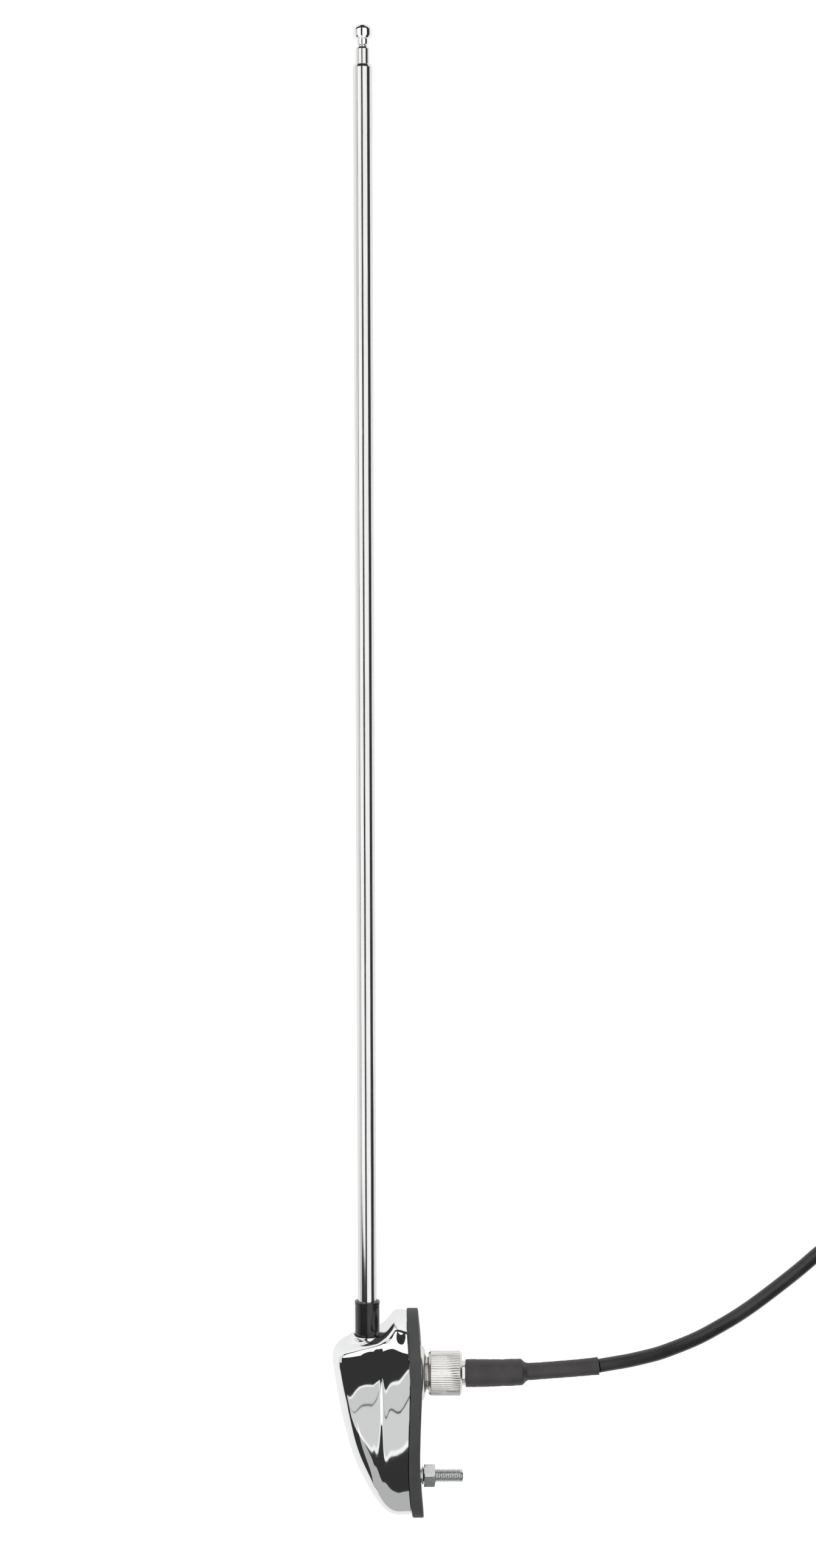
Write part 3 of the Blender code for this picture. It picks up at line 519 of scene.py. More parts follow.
def polymer(name, dark, light, roughness, spread, grain_scale, grain_height, dust=None):
    """A moulded polymer: two near colours in patches, varied roughness and a fine grain.

    Dust is given as (scale, size, share): pale specks over the colour.
    """
    material, tree, shader = start(name, dark, roughness)
    grain = use_group(tree, "Grain", scale=grain_scale)
    smudges = use_group(tree, "Smudges", scale=120.0)
    colour = two_colours(tree, shader, ranged(tree, smudges, 0.3, 0.7), dark, light)
    varied = ranged(tree, smudges, 0.3, 0.7, roughness - spread, roughness + spread)
    tree.links.new(varied, shader.inputs["Roughness"])
    if dust:
        scale, size, share = dust
        mask = use_group(tree, "Specks", scale=scale, size=size, share=share)
        dusty = node(tree, "ShaderNodeMix", data_type="RGBA")
        clean, speck = colour_sockets(dusty.inputs)
        speck.default_value = DUST_COLOUR
        tree.links.new(colour, clean)
        tree.links.new(mask, dusty.inputs["Factor"])
        tree.links.new(colour_sockets(dusty.outputs)[0], shader.inputs["Base Color"])
    bump(tree, shader, (smudges, grain_height * 4), (grain, grain_height))
    return material


RUBBER = polymer(
    "pad rubber", (0.030, 0.031, 0.032), (0.044, 0.045, 0.046), 0.62, 0.08, 2400.0, 0.012,
    dust=(330.0, 0.07, 0.035),
)
BLACK = polymer(
    "black moulding", (0.010, 0.010, 0.011), (0.016, 0.016, 0.017), 0.16, 0.05, 1600.0, 0.003
)
WHITE = polymer(
    "natural polyethylene", (0.74, 0.73, 0.69), (0.82, 0.81, 0.77), 0.42, 0.06, 1200.0, 0.006
)
SHRINK = polymer(
    "heat-shrink sleeve", (0.026, 0.022, 0.022), (0.040, 0.036, 0.036), 0.52, 0.06, 1500.0, 0.016
)
SHEATH = polymer(
    "cable sheath", (0.012, 0.012, 0.013), (0.020, 0.020, 0.021), 0.30, 0.05, 1400.0, 0.006
)
print("materials:", len(bpy.data.materials))


def dress(piece, material, body=None, slot=None, *replaced):
    """Gives the piece its material and, if it is new, its body and what it replaces. The slot is
    not used.
    """
    piece.data.materials.clear()
    piece.data.materials.append(material)
    if body:
        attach(piece, body)
    if replaced:
        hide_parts(*replaced)
    return piece


dress(lead, SHEATH)

# %% [markdown]
# ## The base
# The base is a die casting: a slim prow in front that flares to the pad behind, and a thick round
# rim over the top of the pad. It is modelled as ribs across X, and a spline carries each measure of
# the ribs smoothly from front to back. Chrome shows every flat spot, so the grid is fine.

# %% Housing
# Ribs from front to back, in mm: depth, top, bottom, half width, squareness of the top
RIBS = (
    (-31.35, 25.0, 25.0, 0.0, 2.0),
    (-31.30, 26.0, 23.6, 2.3, 2.4),
    (-31.05, 26.9, 21.5, 4.7, 3.2),
    (-30.45, 27.7, 17.4, 7.3, 4.4),
    (-29.5, 28.5, 11.8, 9.3, 5.8),
    (-28.2, 29.2, 4.7, 10.7, 7.2),
    (-26.5, 29.9, -2.5, 11.6, 8.4),
    (-24.5, 30.5, -9.7, 12.25, 9.2),
    (-21.7, 31.4, -16.8, 12.85, 9.5),
    (-18.0, 32.5, -24.0, 13.35, 9.0),
    (-16.4, 33.05, -26.5, 13.57, 8.5),
    (-15.2, 33.5, -28.3, 13.71, 8.0),
    (-14.2, 34.1, -29.6, 13.80, 7.4),
    (-13.4, 34.8, -30.5, 13.87, 6.8),
    (-12.6, 35.6, -31.2, 14.08, 6.0),
    (-11.7, 36.8, -31.85, 14.40, 5.1),
    (-10.7, 38.3, -32.4, 14.77, 4.2),
    (-9.6, 39.7, -32.8, 15.18, 3.5),
    (-8.4, 40.5, -33.0, 15.61, 3.0),
    (-7.1, 40.7, -33.0, 16.06, 2.7),
    (-5.7, 40.7, -33.0, 16.53, 2.5),
    (-4.3, 40.6, -33.0, 16.98, 2.4),
)
# Share of the height where a rib is widest, how much it narrows below, and by what power
BODY_SHAPE = (0.77, 0.60, 1.50)
RIM_SHAPE = (0.83, 0.65, 1.15)
RIM_BLEND_FROM, RIM_BLEND_LENGTH = -26.0, 22.0
BEND_FROM, BEND_LENGTH = -12.0, 8.0
PAD_BEND = (
    (-34.0, 1.0), (-25.6, 0.2), (-15.4, -0.33), (-5.2, -0.27), (5.0, 0.0), (15.2, 0.33),
    (22.0, 0.2), (28.8, -0.13), (35.6, -0.66), (42.8, -1.15),
)


def bend_of(y):
    """How far the soft pad and the back of the base stand off a flat plane at y, in mm."""
    fine = smooth_through(PAD_BEND, 200)
    return np.interp(y, fine[:, 0], fine[:, 1])


def housing_points(rows=220, columns=240):
    """The shell in rings across X: depth, then once round in (y, z).

    Each ring is a superellipse above its widest level and a rounded taper below it. How high that
    level is, and how the taper runs, change from the body's values to the rim's.
    """
    ribs = smooth_through(RIBS, rows)
    x, top, bottom, width, square = (ribs[:, k, None] for k in range(5))
    width = np.maximum(width, 0)
    to_rim = np.clip((x - RIM_BLEND_FROM) / RIM_BLEND_LENGTH, 0, 1)
    widest_share, taper, power_down = (
        body * (1 - to_rim) + rim * to_rim for body, rim in zip(BODY_SHAPE, RIM_SHAPE)
    )
    widest = bottom + widest_share * (top - bottom)
    turn = np.linspace(0, 2 * np.pi, columns, endpoint=False)[None]
    rise, across = np.cos(turn), np.sin(turn)
    above = rise >= 0
    power = 2 / square
    up = np.abs(rise) ** power * (top - widest)
    out = np.abs(across) ** power
    share = np.abs(rise)
    tapered = (1 - taper * share**power_down) * np.sqrt(np.clip(1 - share**8, 0, 1))
    y = np.where(above, widest + up, widest - share * (widest - bottom))
    z = width * np.where(above, out, tapered) * np.sign(across)
    near_pad = np.clip((x - BEND_FROM) / BEND_LENGTH, 0, 1) ** 2
    return np.stack([x + near_pad * bend_of(y), y, z * np.ones_like(y)], axis=-1) * MM


shell = housing_points()
back = shell[-1:]
centre = back.mean(axis=1, keepdims=True)
back_rings = np.array([0.985, 0.93, 0.6, 0.0])[:, None, None]
lip = centre + (back - centre) * back_rings
housing = grid_piece("cast_base", np.concatenate([shell, lip]), 60)
dress(housing, CHROME, "root", "chrome_casting", "housing")
print("the base has", len(housing.data.polygons), "faces")

# %% [markdown]
# ### The collar
# A boss stands on the shoulder of the base, round the foot of the mast. It is round in front and
# drawn to a point behind, and a fillet runs it into the casting. Its grid goes round the mast, and
# from the bore over the rim and down the wall to the fillet.

# %% Collar
COLLAR_RADIUS, COLLAR_POINT, COLLAR_TOP, COLLAR_FILLET = 6.1, -12.4, 33.2, 1.5
BORE, BORE_CHAMFER = 4.6, 0.12
POINT_SPREAD, POINT_POWER = math.radians(62), 1.6
# How far in from the outline, and how far below the top, the rounded rim runs
COLLAR_RIM = ((0.62, 0.0), (0.32, 0.03), (0.1, 0.14), (0.0, 0.38), (0.0, 0.7))


def shoulder_height(x):
    """The height of the casting's top at a distance x out, from the ribs."""
    ribs = smooth_through(RIBS, 400)
    order = np.argsort(ribs[:, 0])
    return np.interp(x, ribs[order, 0], ribs[order, 1])


def collar_points(columns=180):
    """A closed band in polar form about the mast: a radius and a height at each angle for each row.

    The rows go up the bore, over the rim, down the wall and out along the fillet, and back inside.
    """
    angle = np.linspace(-np.pi, np.pi, columns, endpoint=False)
    mast_x = MAST_X / MM
    reach = COLLAR_POINT - mast_x
    near_tip = np.clip(1 - np.abs(angle) / POINT_SPREAD, 0, 1)
    outline = COLLAR_RADIUS + (reach - COLLAR_RADIUS) * near_tip**POINT_POWER
    level = np.ones(columns)
    rows = [
        (BORE * level, (COLLAR_TOP - 8.0) * level),
        (BORE * level, (COLLAR_TOP - 0.35) * level),
        ((BORE + BORE_CHAMFER) * level, (COLLAR_TOP - 0.12) * level),
    ]
    rows += [(outline - inward, (COLLAR_TOP - drop) * level) for inward, drop in COLLAR_RIM]
    for t in np.linspace(0, 1, 9):
        radius = outline + COLLAR_FILLET * (1 - math.sqrt(1 - t**2))
        ground = shoulder_height(mast_x + radius * np.cos(angle)) - 0.05
        rows.append((radius, np.minimum(ground + COLLAR_FILLET * (1 - t), COLLAR_TOP - 0.75)))
    radius = outline + 1.2
    rows.append((radius, shoulder_height(mast_x + radius * np.cos(angle)) - 1.5))
    rows.append((BORE * level, (COLLAR_TOP - 9.0) * level))
    rows.append(rows[0])
    grid = [np.stack([mast_x + r * np.cos(angle), h, r * np.sin(angle)], axis=1) for r, h in rows]
    return np.stack(grid) * MM


collar = grid_piece("base_collar", collar_points(), 50)
dress(collar, CHROME, "root", "chrome_casting")

# %% [markdown]
# ## The rubber pad
# The pad is a soft slab with a teardrop outline, two arcs joined by their tangents. Lying loose, it
# doesn't stay flat: its top leans in and its foot flares out. Its grid runs from the middle of one
# face, over the rounded edge, to the middle of the other, and the holes are cut afterwards.

# %% Pad
PAD_THICKNESS = (PAD_HIGH.x - PAD_LOW.x) / MM
HEAD, TAIL = (23.9, 18.0), (-26.85, 7.0)
PAD_EDGE = 0.5
STEM_HOLE, STUD_HOLE = 10.1, 4.8


def teardrop(steps=120):
    """Points (y, z) round two circles and their tangents, evenly spaced on each stretch."""
    lean = math.asin((HEAD[1] - TAIL[1]) / (HEAD[0] - TAIL[0]))
    head = np.linspace(-np.pi / 2 - lean, np.pi / 2 + lean, steps)
    tail = np.linspace(np.pi / 2 + lean, 3 * np.pi / 2 - lean, steps // 2)
    arcs = [
        np.stack([middle + radius * np.cos(turn), radius * np.sin(turn)], axis=1)
        for (middle, radius), turn in ((HEAD, head), (TAIL, tail))
    ]
    side = np.linspace(0, 1, 42)[1:-1, None]
    down = arcs[0][-1] * (1 - side) + arcs[1][0] * side
    up = arcs[1][-1] * (1 - side) + arcs[0][0] * side
    return np.concatenate([arcs[0], down, arcs[1], up])


def pad_points():
    """Rings shrinking to the middle on both faces, with a quarter-round at each edge."""
    outline = teardrop()
    middle = np.array([5.0, 0.0])
    reach = outline - middle
    size = np.linalg.norm(reach, axis=1, keepdims=True)
    corner = np.linspace(0, np.pi / 2, 6)
    rising, falling = PAD_EDGE * (1 - np.sin(corner)), PAD_EDGE * (1 - np.cos(corner))
    inward = np.concatenate([rising, falling])
    depth = np.concatenate([falling, PAD_THICKNESS - rising])
    rings = [middle + reach * share for share in (0.0, 0.2, 0.4, 0.6, 0.8, 0.93)]
    edge = [middle + reach * (1 - step / size) for step in inward]
    flat = np.stack([*rings, *edge, *rings[::-1]])
    x = np.concatenate([np.zeros(6), depth, np.full(6, PAD_THICKNESS)])[:, None] - PAD_THICKNESS
    return np.stack([x + bend_of(flat[..., 0]), flat[..., 0], flat[..., 1]], axis=-1) * MM


def drum(name, radius, low, high, y):
    """A plain closed drum along X, for cutting a hole."""
    corners = [(0, low), (radius, low), (radius, high), (0, high)]
    return grid_piece(name, spun(corners, "X", (0, y, 0), 64))


pad = grid_piece("teardrop_pad", pad_points(), 50)
cut(
    pad,
    drum("stem_hole", STEM_HOLE, -8, 8, STEM_Y / MM),
    drum("stud_hole", STUD_HOLE, -8, 8, STUD_Y / MM),
)
dress(pad, RUBBER, "root", "pad_rubber", "rubber_pad")

# %% [markdown]
# ## The mast
# Three drawn sections slide in one another. Each tube's mouth is rolled in to hold the next, so it
# gets a small chamfer and a lip, and the knob has a turned groove under its head.

# %% Mast
MAST = (MAST_X / MM, 0, 0)


def tube_corners(node_name, bore, mouth, chamfer, lip=1.5):
    """The (radius, height) corners of a tube with a chamfered top and a rolled-in mouth."""
    low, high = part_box(node_name)
    radius, foot, top = (high.z - low.z) / 2 / MM, low.y / MM, high.y / MM
    return ring_profile([
        (radius, foot), (radius, top - 2 * chamfer), (radius - chamfer, top), (mouth, top),
        (mouth, top - lip), (bore, top - lip - 0.4), (bore, foot),
    ])


outer_corners = tube_corners("mast_outer_tube", 2.9, 2.6, 0.5)
outer = turned("outer_section", outer_corners, "Y", MAST, 0.1)
dress(outer, STAINLESS, "root", "mast_stainless", "mast_outer_tube")
middle_corners = tube_corners("mast_middle_tube", 2.03, 1.82, 0.35)
middle = turned("middle_section_tube", middle_corners, "Y", MAST, 0.1)
dress(middle, STAINLESS, "middle_section", "mast_stainless", "mast_middle_tube")
ROD_LOW, ROD_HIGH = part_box("mast_inner_rod")
rod_foot, rod_top = ROD_LOW.y / MM, ROD_HIGH.y / MM
rod = turned(
    "inner_section_rod",
    [
        (0, rod_foot), (1.2, rod_foot), (1.2, rod_foot + 7), (1.7, rod_foot + 7),
        (1.7, rod_top - 3.7), (1.2, rod_top - 3.7), (1.2, rod_top), (0, rod_top),
    ],
    "Y", MAST, 0.1, 64,
)
dress(rod, STAINLESS, "inner_section", "mast_stainless", "mast_inner_rod")
KNOB_LOW, KNOB_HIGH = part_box("tip_knob")
knob_foot, knob_top = KNOB_LOW.y / MM, KNOB_HIGH.y / MM
knob = turned(
    "mast_knob",
    [
        (0, knob_foot + 3.7), (1.35, knob_foot + 3.7), (1.35, knob_foot), (2.15, knob_foot),
        (2.15, knob_foot + 2.0), (2.85, knob_foot + 2.0), (3.4, knob_foot + 3.0),
        (3.4, knob_top - 1.6), (2.3, knob_top - 0.25), (0, knob_top),
    ],
    "Y", MAST, 0.6,
)
dress(knob, CHROME, "inner_section", "chrome_casting", "tip_knob")
SLEEVE_LOW, SLEEVE_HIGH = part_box("insulating_sleeve")
sleeve_foot, sleeve_top = SLEEVE_LOW.y / MM, SLEEVE_HIGH.y / MM
sleeve = turned(
    "mast_sleeve",
    ring_profile([
        (5.6, 21.5), (5.6, 23.3), (4.35, 23.3), (4.35, sleeve_top - 1.3), (4.45, sleeve_top - 1.1),
        (4.45, sleeve_top - 0.2), (4.2, sleeve_top), (3.45, sleeve_top),
        (3.45, sleeve_foot + 2.6), (1.8, sleeve_foot + 2.6), (1.8, sleeve_foot),
        (4.35, sleeve_foot), (4.35, 21.5),
    ]),
    "Y", MAST, 0.2,
)
dress(sleeve, BLACK, "root", "black_plastic", "insulating_sleeve")
print("the mast's tip is", round((KNOB_HIGH.y - PAD_LOW.y) / MM, 1), "mm over the pad's foot")

# %% [markdown]
# ## Threads, knurl and nuts
# A thread is a helix, but on a grid round the bolt it is just a radius that depends on height and
# angle together: a triangle wave of height minus angle. A straight knurl depends on the angle
# alone. A nut is a hexagon cut off by a cone, so its radius is the smaller of the two.

# %% Connector and fastening
STEM = (0, STEM_Y / MM, 0)
STUD = (0, STUD_Y / MM, 0)


def thread_of(outer_radius, depth, pitch, first, last):
    """A function for spun: a V thread between two heights on what lies at the outer radius."""

    def radius_of(radius, height, angle):
        phase = (height / pitch - angle / (2 * np.pi)) % 1
        wave = np.clip(np.abs(2 * phase - 1) * 1.25 - 0.125, 0, 1)
        fade = np.clip((height - first) / pitch, 0, 1) * np.clip((last - height) / pitch, 0, 1)
        on_thread = np.abs(radius - outer_radius) < 1e-6
        return radius - depth * wave * fade * on_thread

    return radius_of


def with_steps(corners, start_index, count):
    """The corners with extra points along the side after one of them."""
    corners = [tuple(corner) for corner in corners]
    a, b = np.array(corners[start_index]), np.array(corners[start_index + 1])
    extra = [tuple(a + (b - a) * t) for t in np.linspace(0, 1, count + 2)[1:-1]]
    return corners[: start_index + 1] + extra + corners[start_index + 1 :]


stud_corners = [(0, -15.0), (2.45, -15.0), (2.45, 0.0), (2.45, 14.3), (1.95, 14.9), (0, 14.9)]
stud = grid_piece(
    "threaded_stud",
    spun(with_steps(stud_corners, 2, 220), "X", STUD, 64, thread_of(2.45, 0.42, 0.8, 0.2, 14.6)),
    35,
)
# A screwdriver slot in the stud's end
SLOT_SIZE, SLOT_TURN = (1.6, 0.8, 6.0), 0.4
slot_cutter = bpy.data.objects.new("slot", bpy.data.meshes.new("slot"))
slot_shape = bmesh.new()
bmesh.ops.create_cube(slot_shape, size=1)
bmesh.ops.scale(slot_shape, vec=[MM * size for size in SLOT_SIZE], verts=slot_shape.verts)
bmesh.ops.rotate(slot_shape, verts=slot_shape.verts, matrix=Matrix.Rotation(SLOT_TURN, 3, "X"))
bmesh.ops.translate(slot_shape, verts=slot_shape.verts, vec=(STUD_HIGH.x, STUD_Y, 0))
slot_shape.to_mesh(slot_cutter.data)
slot_shape.free()
bpy.context.scene.collection.objects.link(slot_cutter)
cut(stud, slot_cutter)
dress(stud, ZINC, "root", "zinc_plated_steel", "mounting_stud")

stem_corners = ring_profile([
    (4.9, -11.0), (4.9, -4.2), (9.8, -4.2), (9.8, 0.1), (9.3, 0.85), (8.2, 1.4), (6.6, 1.7),
    (5.85, 1.9), (5.85, 10.1), (5.45, 10.5), (3.3, 10.5), (3.3, -11.0),
])
stem = grid_piece(
    "threaded_stem",
    spun(with_steps(stem_corners, 8, 110), "X", STEM, 120, thread_of(5.85, 0.4, 1.0, 1.9, 10.2)),
    40,
)
dress(stem, NICKEL, "root", "nickel_plate", "connector_stem")

KNURLS = 56


def knurl(radius, height, angle):
    """Straight ribs: a rounded wave of the angle on the widest stretch, faded out at both ends."""
    on_rim = np.clip((radius - 7.55) / 0.2, 0, 1)
    fade = np.clip((height - 3.5) / 0.35, 0, 1) * np.clip((13.9 - height) / 0.35, 0, 1)
    wave = np.abs(np.cos(angle * KNURLS / 2)) ** 1.6
    return radius - 0.28 * (1 - wave) * on_rim * fade


nut_corners = ring_profile([
    (6.15, 2.7), (7.0, 2.7), (7.9, 3.5), (7.9, 13.9), (6.9, 14.6), (4.65, 14.6), (4.65, 12.5),
    (6.15, 12.5),
])
nut_profile = with_steps(rounded(nut_corners, 0.12), 22, 24)
coupling = grid_piece("knurled_nut", spun(nut_profile, "X", STEM, KNURLS * 10, knurl), 50)
dress(coupling, NICKEL, "coupling_nut", "nickel_plate", "coupling_nut")

FLATS, CORNERS, NUT_LEAN = 3.9, 4.46, math.radians(15)
CONE_START, CONE_SLOPE = 4.05, 1.7
NUT_FOOT, NUT_TOP = 1.05, 5.0


def hexagon(radius, height, angle):
    """The nut's wall: the smallest of a hexagon, its turned corners and a cone at each end."""
    sector = (angle + NUT_LEAN) % (math.pi / 3) - math.pi / 6
    flats = FLATS / np.cos(sector)
    from_end = np.minimum(height - NUT_FOOT, NUT_TOP - height)
    cone = CONE_START + from_end * CONE_SLOPE
    smaller = np.minimum(np.minimum(flats, CORNERS), cone)
    return np.where(radius > 4.2, smaller, radius)


hex_corners = [
    (2.65, 3.0), (2.65, 1.35), (2.95, NUT_FOOT), (4.05, NUT_FOOT), (4.5, NUT_FOOT + 0.01),
    (4.5, NUT_TOP - 0.01), (4.05, NUT_TOP), (2.95, NUT_TOP), (2.65, 4.7), (2.65, 3.0),
]
nut = grid_piece("hexagon_nut", spun(with_steps(hex_corners, 4, 26), "X", STUD, 240, hexagon), 28)
dress(nut, ZINC, "hex_nut", "zinc_plated_steel", "hex_nut")
bush = turned(
    "stud_collar",
    ring_profile([(3.15, 0.25), (3.15, 0.6), (2.95, 0.85), (2.65, 0.85), (2.65, 0.25)]),
    "X", STUD, 0.06, 64,
)
dress(bush, ZINC, "stud_bush", "zinc_plated_steel", "stud_bush")
body = turned(
    "crimp_body",
    ring_profile([
        (3.2, 27.0), (3.2, 15.7), (4.35, 15.7), (4.35, 12.2), (5.6, 12.2), (5.6, 10.8),
        (2.6, 10.8), (2.6, 27.0),
    ]),
    "X", STEM, 0.12,
)
dress(body, NICKEL, "root", "nickel_plate", "connector_body")

# %% [markdown]
# ## The heat-shrink sleeve
# The sleeve was slid over the crimp and warmed until it gripped. It keeps the crimp's outline under
# it: a wide stretch with faint steps, a shoulder, and a narrow stretch round the cable that opens
# slightly at its cut end. A profile of radii is carried along the cable's own line.

# %% Heat-shrink
# Along the axis, in mm: distance out, drift across in y and z, outer radius
SPINE = (
    (15.9, 0.0, 0.0, 4.86), (18.5, 0.0, 0.0, 4.9), (22.0, 0.0, 0.0, 4.86),
    (25.5, 0.05, 0.0, 4.80), (28.0, 0.1, 0.0, 4.72), (30.0, 0.15, 0.0, 4.70),
    (32.5, 0.22, -0.05, 4.74), (34.8, 0.3, -0.1, 4.66), (36.0, 0.35, -0.15, 4.50),
    (37.0, 0.4, -0.2, 3.55), (38.0, 0.45, -0.25, 3.12), (40.0, 0.5, -0.35, 3.02),
    (46.0, 0.8, -0.75, 3.0), (52.0, 1.1, -1.3, 3.02), (57.0, 1.35, -1.85, 3.04),
    (61.5, 1.6, -2.45, 3.10), (63.2, 1.7, -2.65, 3.2),
)


def carried(line, radii, segments=72):
    """Rings of the given radii round a line of points, each square to the line."""
    along = np.gradient(line, axis=0)
    along /= np.linalg.norm(along, axis=1, keepdims=True)
    side = np.cross(along, (0, 0, 1.0))
    side /= np.linalg.norm(side, axis=1, keepdims=True)
    upper = np.cross(side, along)
    angle = np.linspace(0, 2 * np.pi, segments, endpoint=False)[None, :, None]
    rings = side[:, None] * np.cos(angle) + upper[:, None] * np.sin(angle)
    return line[:, None] + radii[:, None, None] * rings


fine_spine = smooth_through(SPINE, 150)
sleeve_line = fine_spine[:, :3] + np.array([0, STEM_Y / MM, 0])
ripple = 0.035 * np.sin(fine_spine[:, 0] * 2.1) * np.sin(fine_spine[:, 0] * 0.7)
sleeve_radius = fine_spine[:, 3] + ripple
inner_radius = np.where(fine_spine[:, 0] < 28, 4.2, 2.52)
inner_radius = np.minimum(inner_radius, sleeve_radius - 0.3)
outside = carried(sleeve_line, sleeve_radius)
inside_wall = carried(sleeve_line, inner_radius)[::-1]
walls = np.concatenate([outside, inside_wall, outside[:1]]) * MM
shrink = grid_piece("shrink_sleeve", walls, 50)
dress(shrink, SHRINK, "root", "heat_shrink", "heat_shrink")

# %% [markdown]
# ## The far end of the lead
# The lead ends in the plug that goes into a car radio: a moulded boot, a slotted metal shell and a
# pin. A soft band holds the coil.

# %% Plug and tie
PLUG = TAIL_ROUTE[-2]
RIBS_ON_BOOT, RIB_GAP, RIB_GROWTH = 5, 2.4, 0.22
boot_corners = [(0, 0.3), (2.9, 0.3), (3.3, 1.3)]
for k in range(RIBS_ON_BOOT):
    wider, further = RIB_GROWTH * k, RIB_GAP * k
    boot_corners += [(3.4 + wider, 2.4 + further), (3.05 + wider, 3.1 + further)]
boot_corners += [(4.6, 16.3), (4.6, 22.3), (0, 22.3)]
boot = turned("radio_plug_boot", boot_corners, "-Y", PLUG, 0.25)
dress(boot, BLACK, "root", "black_plastic", "plug_boot")
plug_shell = turned(
    "radio_plug_shell",
    ring_profile([
        (2.0, 22.6), (5.25, 22.6), (5.25, 26.2), (4.65, 26.6), (4.65, 45.6), (4.3, 46.6),
        (4.0, 46.6), (4.0, 30.6), (2.0, 30.6),
    ]),
    "-Y", PLUG, 0.15,
)
dress(plug_shell, NICKEL, "root", "nickel_plate", "plug_shell")
plug_pin = turned(
    "radio_plug_pin",
    [(0, 23.1), (1.6, 23.1), (1.6, 58.2), (1.0, 59.3), (0, 59.6)],
    "-Y", PLUG, 0.4, 48,
)
dress(plug_pin, NICKEL, "root", "nickel_plate", "plug_pin")

TIE_LOW, TIE_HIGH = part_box("coil_tie")
TIE_SQUARENESS = 0.32
# Along the cable, and outwards from the node's own box
TIE_SECTION = (
    (-1.4, -0.12), (-1.25, 0.0), (1.25, 0.0), (1.4, -0.12), (1.4, -0.42), (1.25, -0.54),
    (-1.25, -0.54), (-1.4, -0.42), (-1.4, -0.12),
)


def tie_points():
    """A strap's cross-section carried round a rounded rectangle that just clears the bundle."""
    middle, half = (TIE_LOW + TIE_HIGH) / 2 / MM, (TIE_HIGH - TIE_LOW) / 2 / MM
    turn = np.linspace(0, 2 * np.pi, 160, endpoint=False)
    y = np.sign(np.cos(turn)) * np.abs(np.cos(turn)) ** TIE_SQUARENESS
    z = np.sign(np.sin(turn)) * np.abs(np.sin(turn)) ** TIE_SQUARENESS
    rows = [
        np.stack([
            np.full_like(y, middle.x + across),
            middle.y + y * (half.y + out),
            middle.z + z * (half.z + out),
        ], axis=1)
        for across, out in TIE_SECTION
    ]
    return np.stack(rows) * MM


tie = grid_piece("coil_band", tie_points(), 50)
dress(tie, BLACK, "root", "black_plastic", "coil_tie")

# %% [markdown]
# ## The pieces inside
# The rest of the model keeps its own shape. These pieces sit inside the base, the mast and the
# plugs, and only need their finish.

# %% Finishes for the model's own pieces
INSIDE = {
    ZINC: ("back_plate", "foot_nut", "stem_lock_nut"),
    SPRING: ("sleeve_clip",),
    BRASS: (
        "middle_friction_sleeve", "middle_end_plug", "rod_friction_sleeve", "mast_foot_plug",
        "contact_strip", "centre_socket", "connector_pin",
    ),
    COPPER: ("crimp_ferrule",),
    WHITE: ("stem_insulator", "connector_dielectric", "plug_insulator"),
}
for finish, names in INSIDE.items():
    for name in names:
        dress(NODES[name], finish)

# %% [markdown]
# ## Studio
# Polished metal shows the room, so the room is designed first of all for its reflections. Two large
# soft boxes hang over the mast, with a slot between them that draws the dark line down its middle.
# A long window of light lies askew below the base, and the flank of the casting mirrors it twice,
# once on each side of its crease. Between the soft boxes and the window it is dark, and that gap is
# the black field under the base's shoulder.

# %% Floor
FLOOR_REACH, FLOOR_GAP = 6, 0.0002
FLOOR_LIT, FLOOR_SEEN = 0.66, 0.86
floor_mesh = bpy.data.meshes.new("floor")
sides = ((-1, -1), (1, -1), (1, 1), (-1, 1))
floor_corners = [(x * FLOOR_REACH, y * FLOOR_REACH, TABLE_Z - FLOOR_GAP) for x, y in sides]
floor_mesh.from_pydata(floor_corners, [], [(0, 1, 2, 3)])
floor = bpy.data.objects.new("floor", floor_mesh)
bpy.context.scene.collection.objects.link(floor)
FLOOR, floor_tree, floor_shader = start("pale floor", (0.25, 0.25, 0.25), 0.8)
floor_shader.inputs["Specular IOR Level"].default_value = 0.0
floor_shader.inputs["Emission Color"].default_value = (1, 1, 1, 1)
floor_path = node(floor_tree, "ShaderNodeLightPath")
floor_glow = ranged(
    floor_tree, floor_path.outputs["Is Camera Ray"], 0, 1, FLOOR_LIT, FLOOR_SEEN
)
floor_tree.links.new(floor_glow, floor_shader.inputs["Emission Strength"])
floor_mesh.materials.append(FLOOR)

# %% [markdown]
# A soft box is stated by where its rectangle lies and by its radiance, which is what a mirror shows
# of it. The power that Blender asks for is the radiance times the area times pi.

# %% Lights
NEAR_HEIGHT, FAR_HEIGHT = 0.12, 0.9


def soft_box(name, centre, size, radiance, turn=0.0, aim=None):
    """A rectangular light that faces straight down, turned by some degrees, or faces its aim."""
    light = bpy.data.lights.new(name, "AREA")
    light.shape = "RECTANGLE"
    light.size, light.size_y = size
    light.energy = radiance * size[0] * size[1] * math.pi
    lamp = bpy.data.objects.new(name, light)
    lamp.location = centre
    if aim:
        lamp.rotation_euler = (Vector(centre) - Vector(aim)).to_track_quat("Z", "Y").to_euler()
    else:
        lamp.rotation_euler = (0, 0, math.radians(turn))
    lamp.visible_camera = False
    bpy.context.scene.collection.objects.link(lamp)


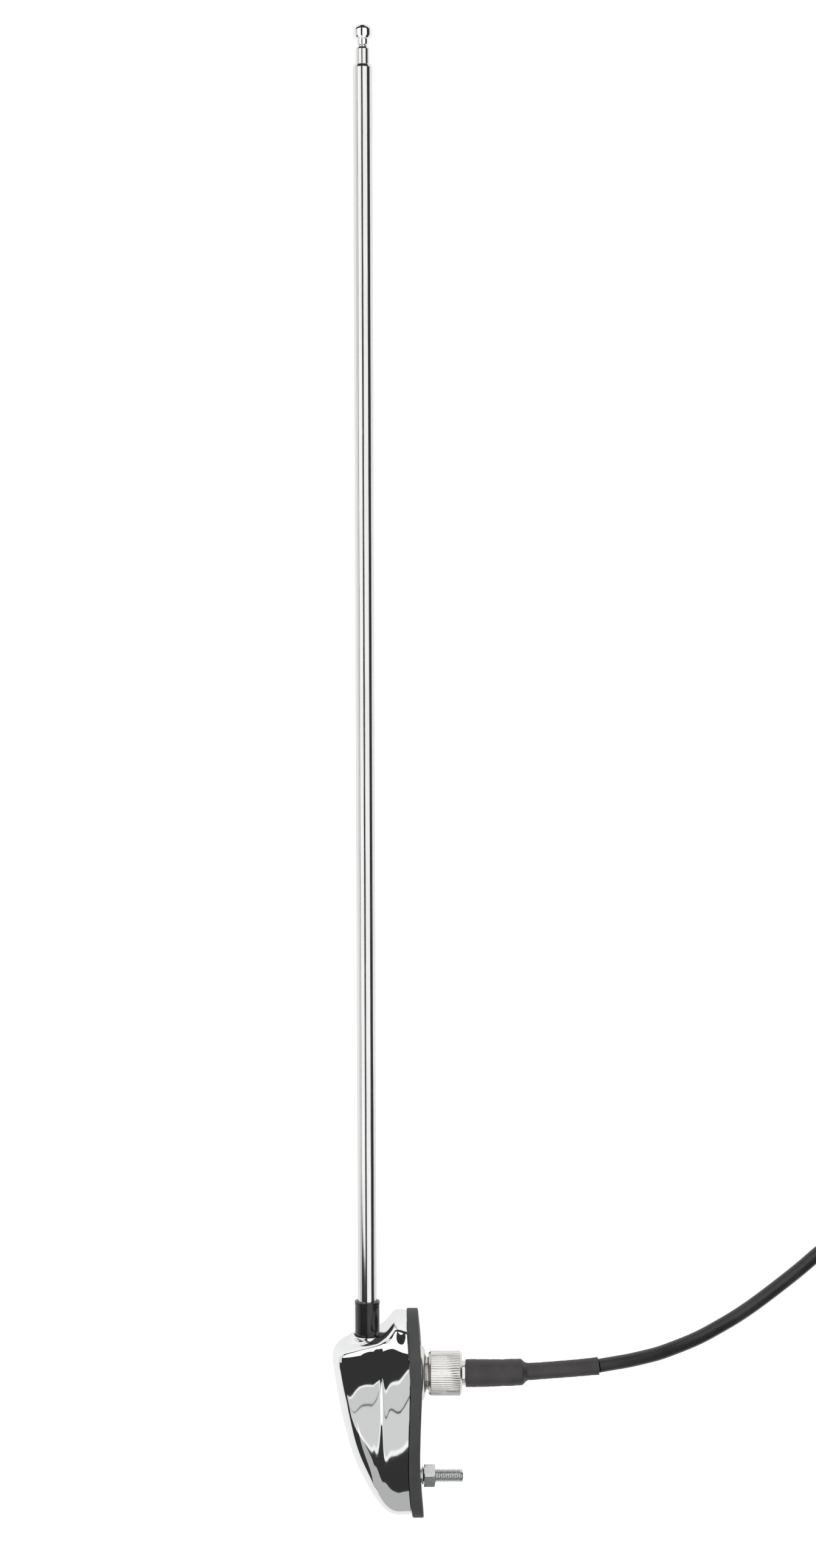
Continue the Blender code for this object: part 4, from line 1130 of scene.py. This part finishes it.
def overhead(name, x_range, y_range, radiance, height=NEAR_HEIGHT):
    """A level soft box over a stretch of the table."""
    centre = (sum(x_range) / 2, sum(y_range) / 2, height)
    size = (x_range[1] - x_range[0], y_range[1] - y_range[0])
    soft_box(name, centre, size, radiance)


overhead("over_mast_left", (-0.25, -0.060), (0.025, 0.60), 1.15)
overhead("over_mast_right", (-0.018, 0.13), (-0.075, 0.60), 1.10)
overhead("over_lead", (0.05, 0.9), (-2.4, -0.75), 0.5, FAR_HEIGHT)

WINDOW_TURN = 31.0


def window_strip(name, along, offsets, radiance):
    """Part of the window: its stretch along it, and its two distances from the base."""
    lean = math.radians(WINDOW_TURN)
    middle, offset = sum(along) / 2, sum(offsets) / 2
    x = middle * math.cos(lean) - offset * math.sin(lean)
    y = middle * math.sin(lean) + offset * math.cos(lean)
    size = (along[1] - along[0], abs(offsets[1] - offsets[0]))
    soft_box(name, (x, y, FAR_HEIGHT), size, radiance, WINDOW_TURN)


WINDOW = (-4.5, -0.335)
window_strip("window_near_edge", WINDOW, (-0.231, -0.250), 1.0)
window_strip("window_near", WINDOW, (-0.250, -0.353), 0.62)
window_strip("window_far", WINDOW, (-0.360, -0.490), 0.66)
window_strip("window_far_edge", WINDOW, (-0.490, -0.515), 1.0)
window_strip("window_end", (-0.335, -0.30), (-0.231, -0.515), 1.0)
soft_box("low_left", (-2.0, 0.3, 0.40), (1.7, 0.75), 0.8, aim=(0, 0.3, 0))
soft_box("far_wall", (-0.5, -1.7, 0.55), (1.6, 1.1), 0.45, aim=(0, 0, 0))

SKY_MIRRORED, SKY_SEEN = 0.035, 0.75
world = bpy.data.worlds.new("studio")
bpy.context.scene.world = world
world.use_nodes = True
sky = world.node_tree
background = sky.nodes["Background"]
background.inputs["Color"].default_value = (1, 1, 1, 1)
path = node(sky, "ShaderNodeLightPath")
seen = node(sky, "ShaderNodeMath", operation="MAXIMUM")
sky.links.new(path.outputs["Is Camera Ray"], seen.inputs[0])
sky.links.new(path.outputs["Is Diffuse Ray"], seen.inputs[1])
sky_glow = ranged(sky, seen.outputs[0], 0, 1, SKY_MIRRORED, SKY_SEEN)
sky.links.new(sky_glow, background.inputs["Strength"])
bpy.context.scene.view_settings.view_transform = "Standard"
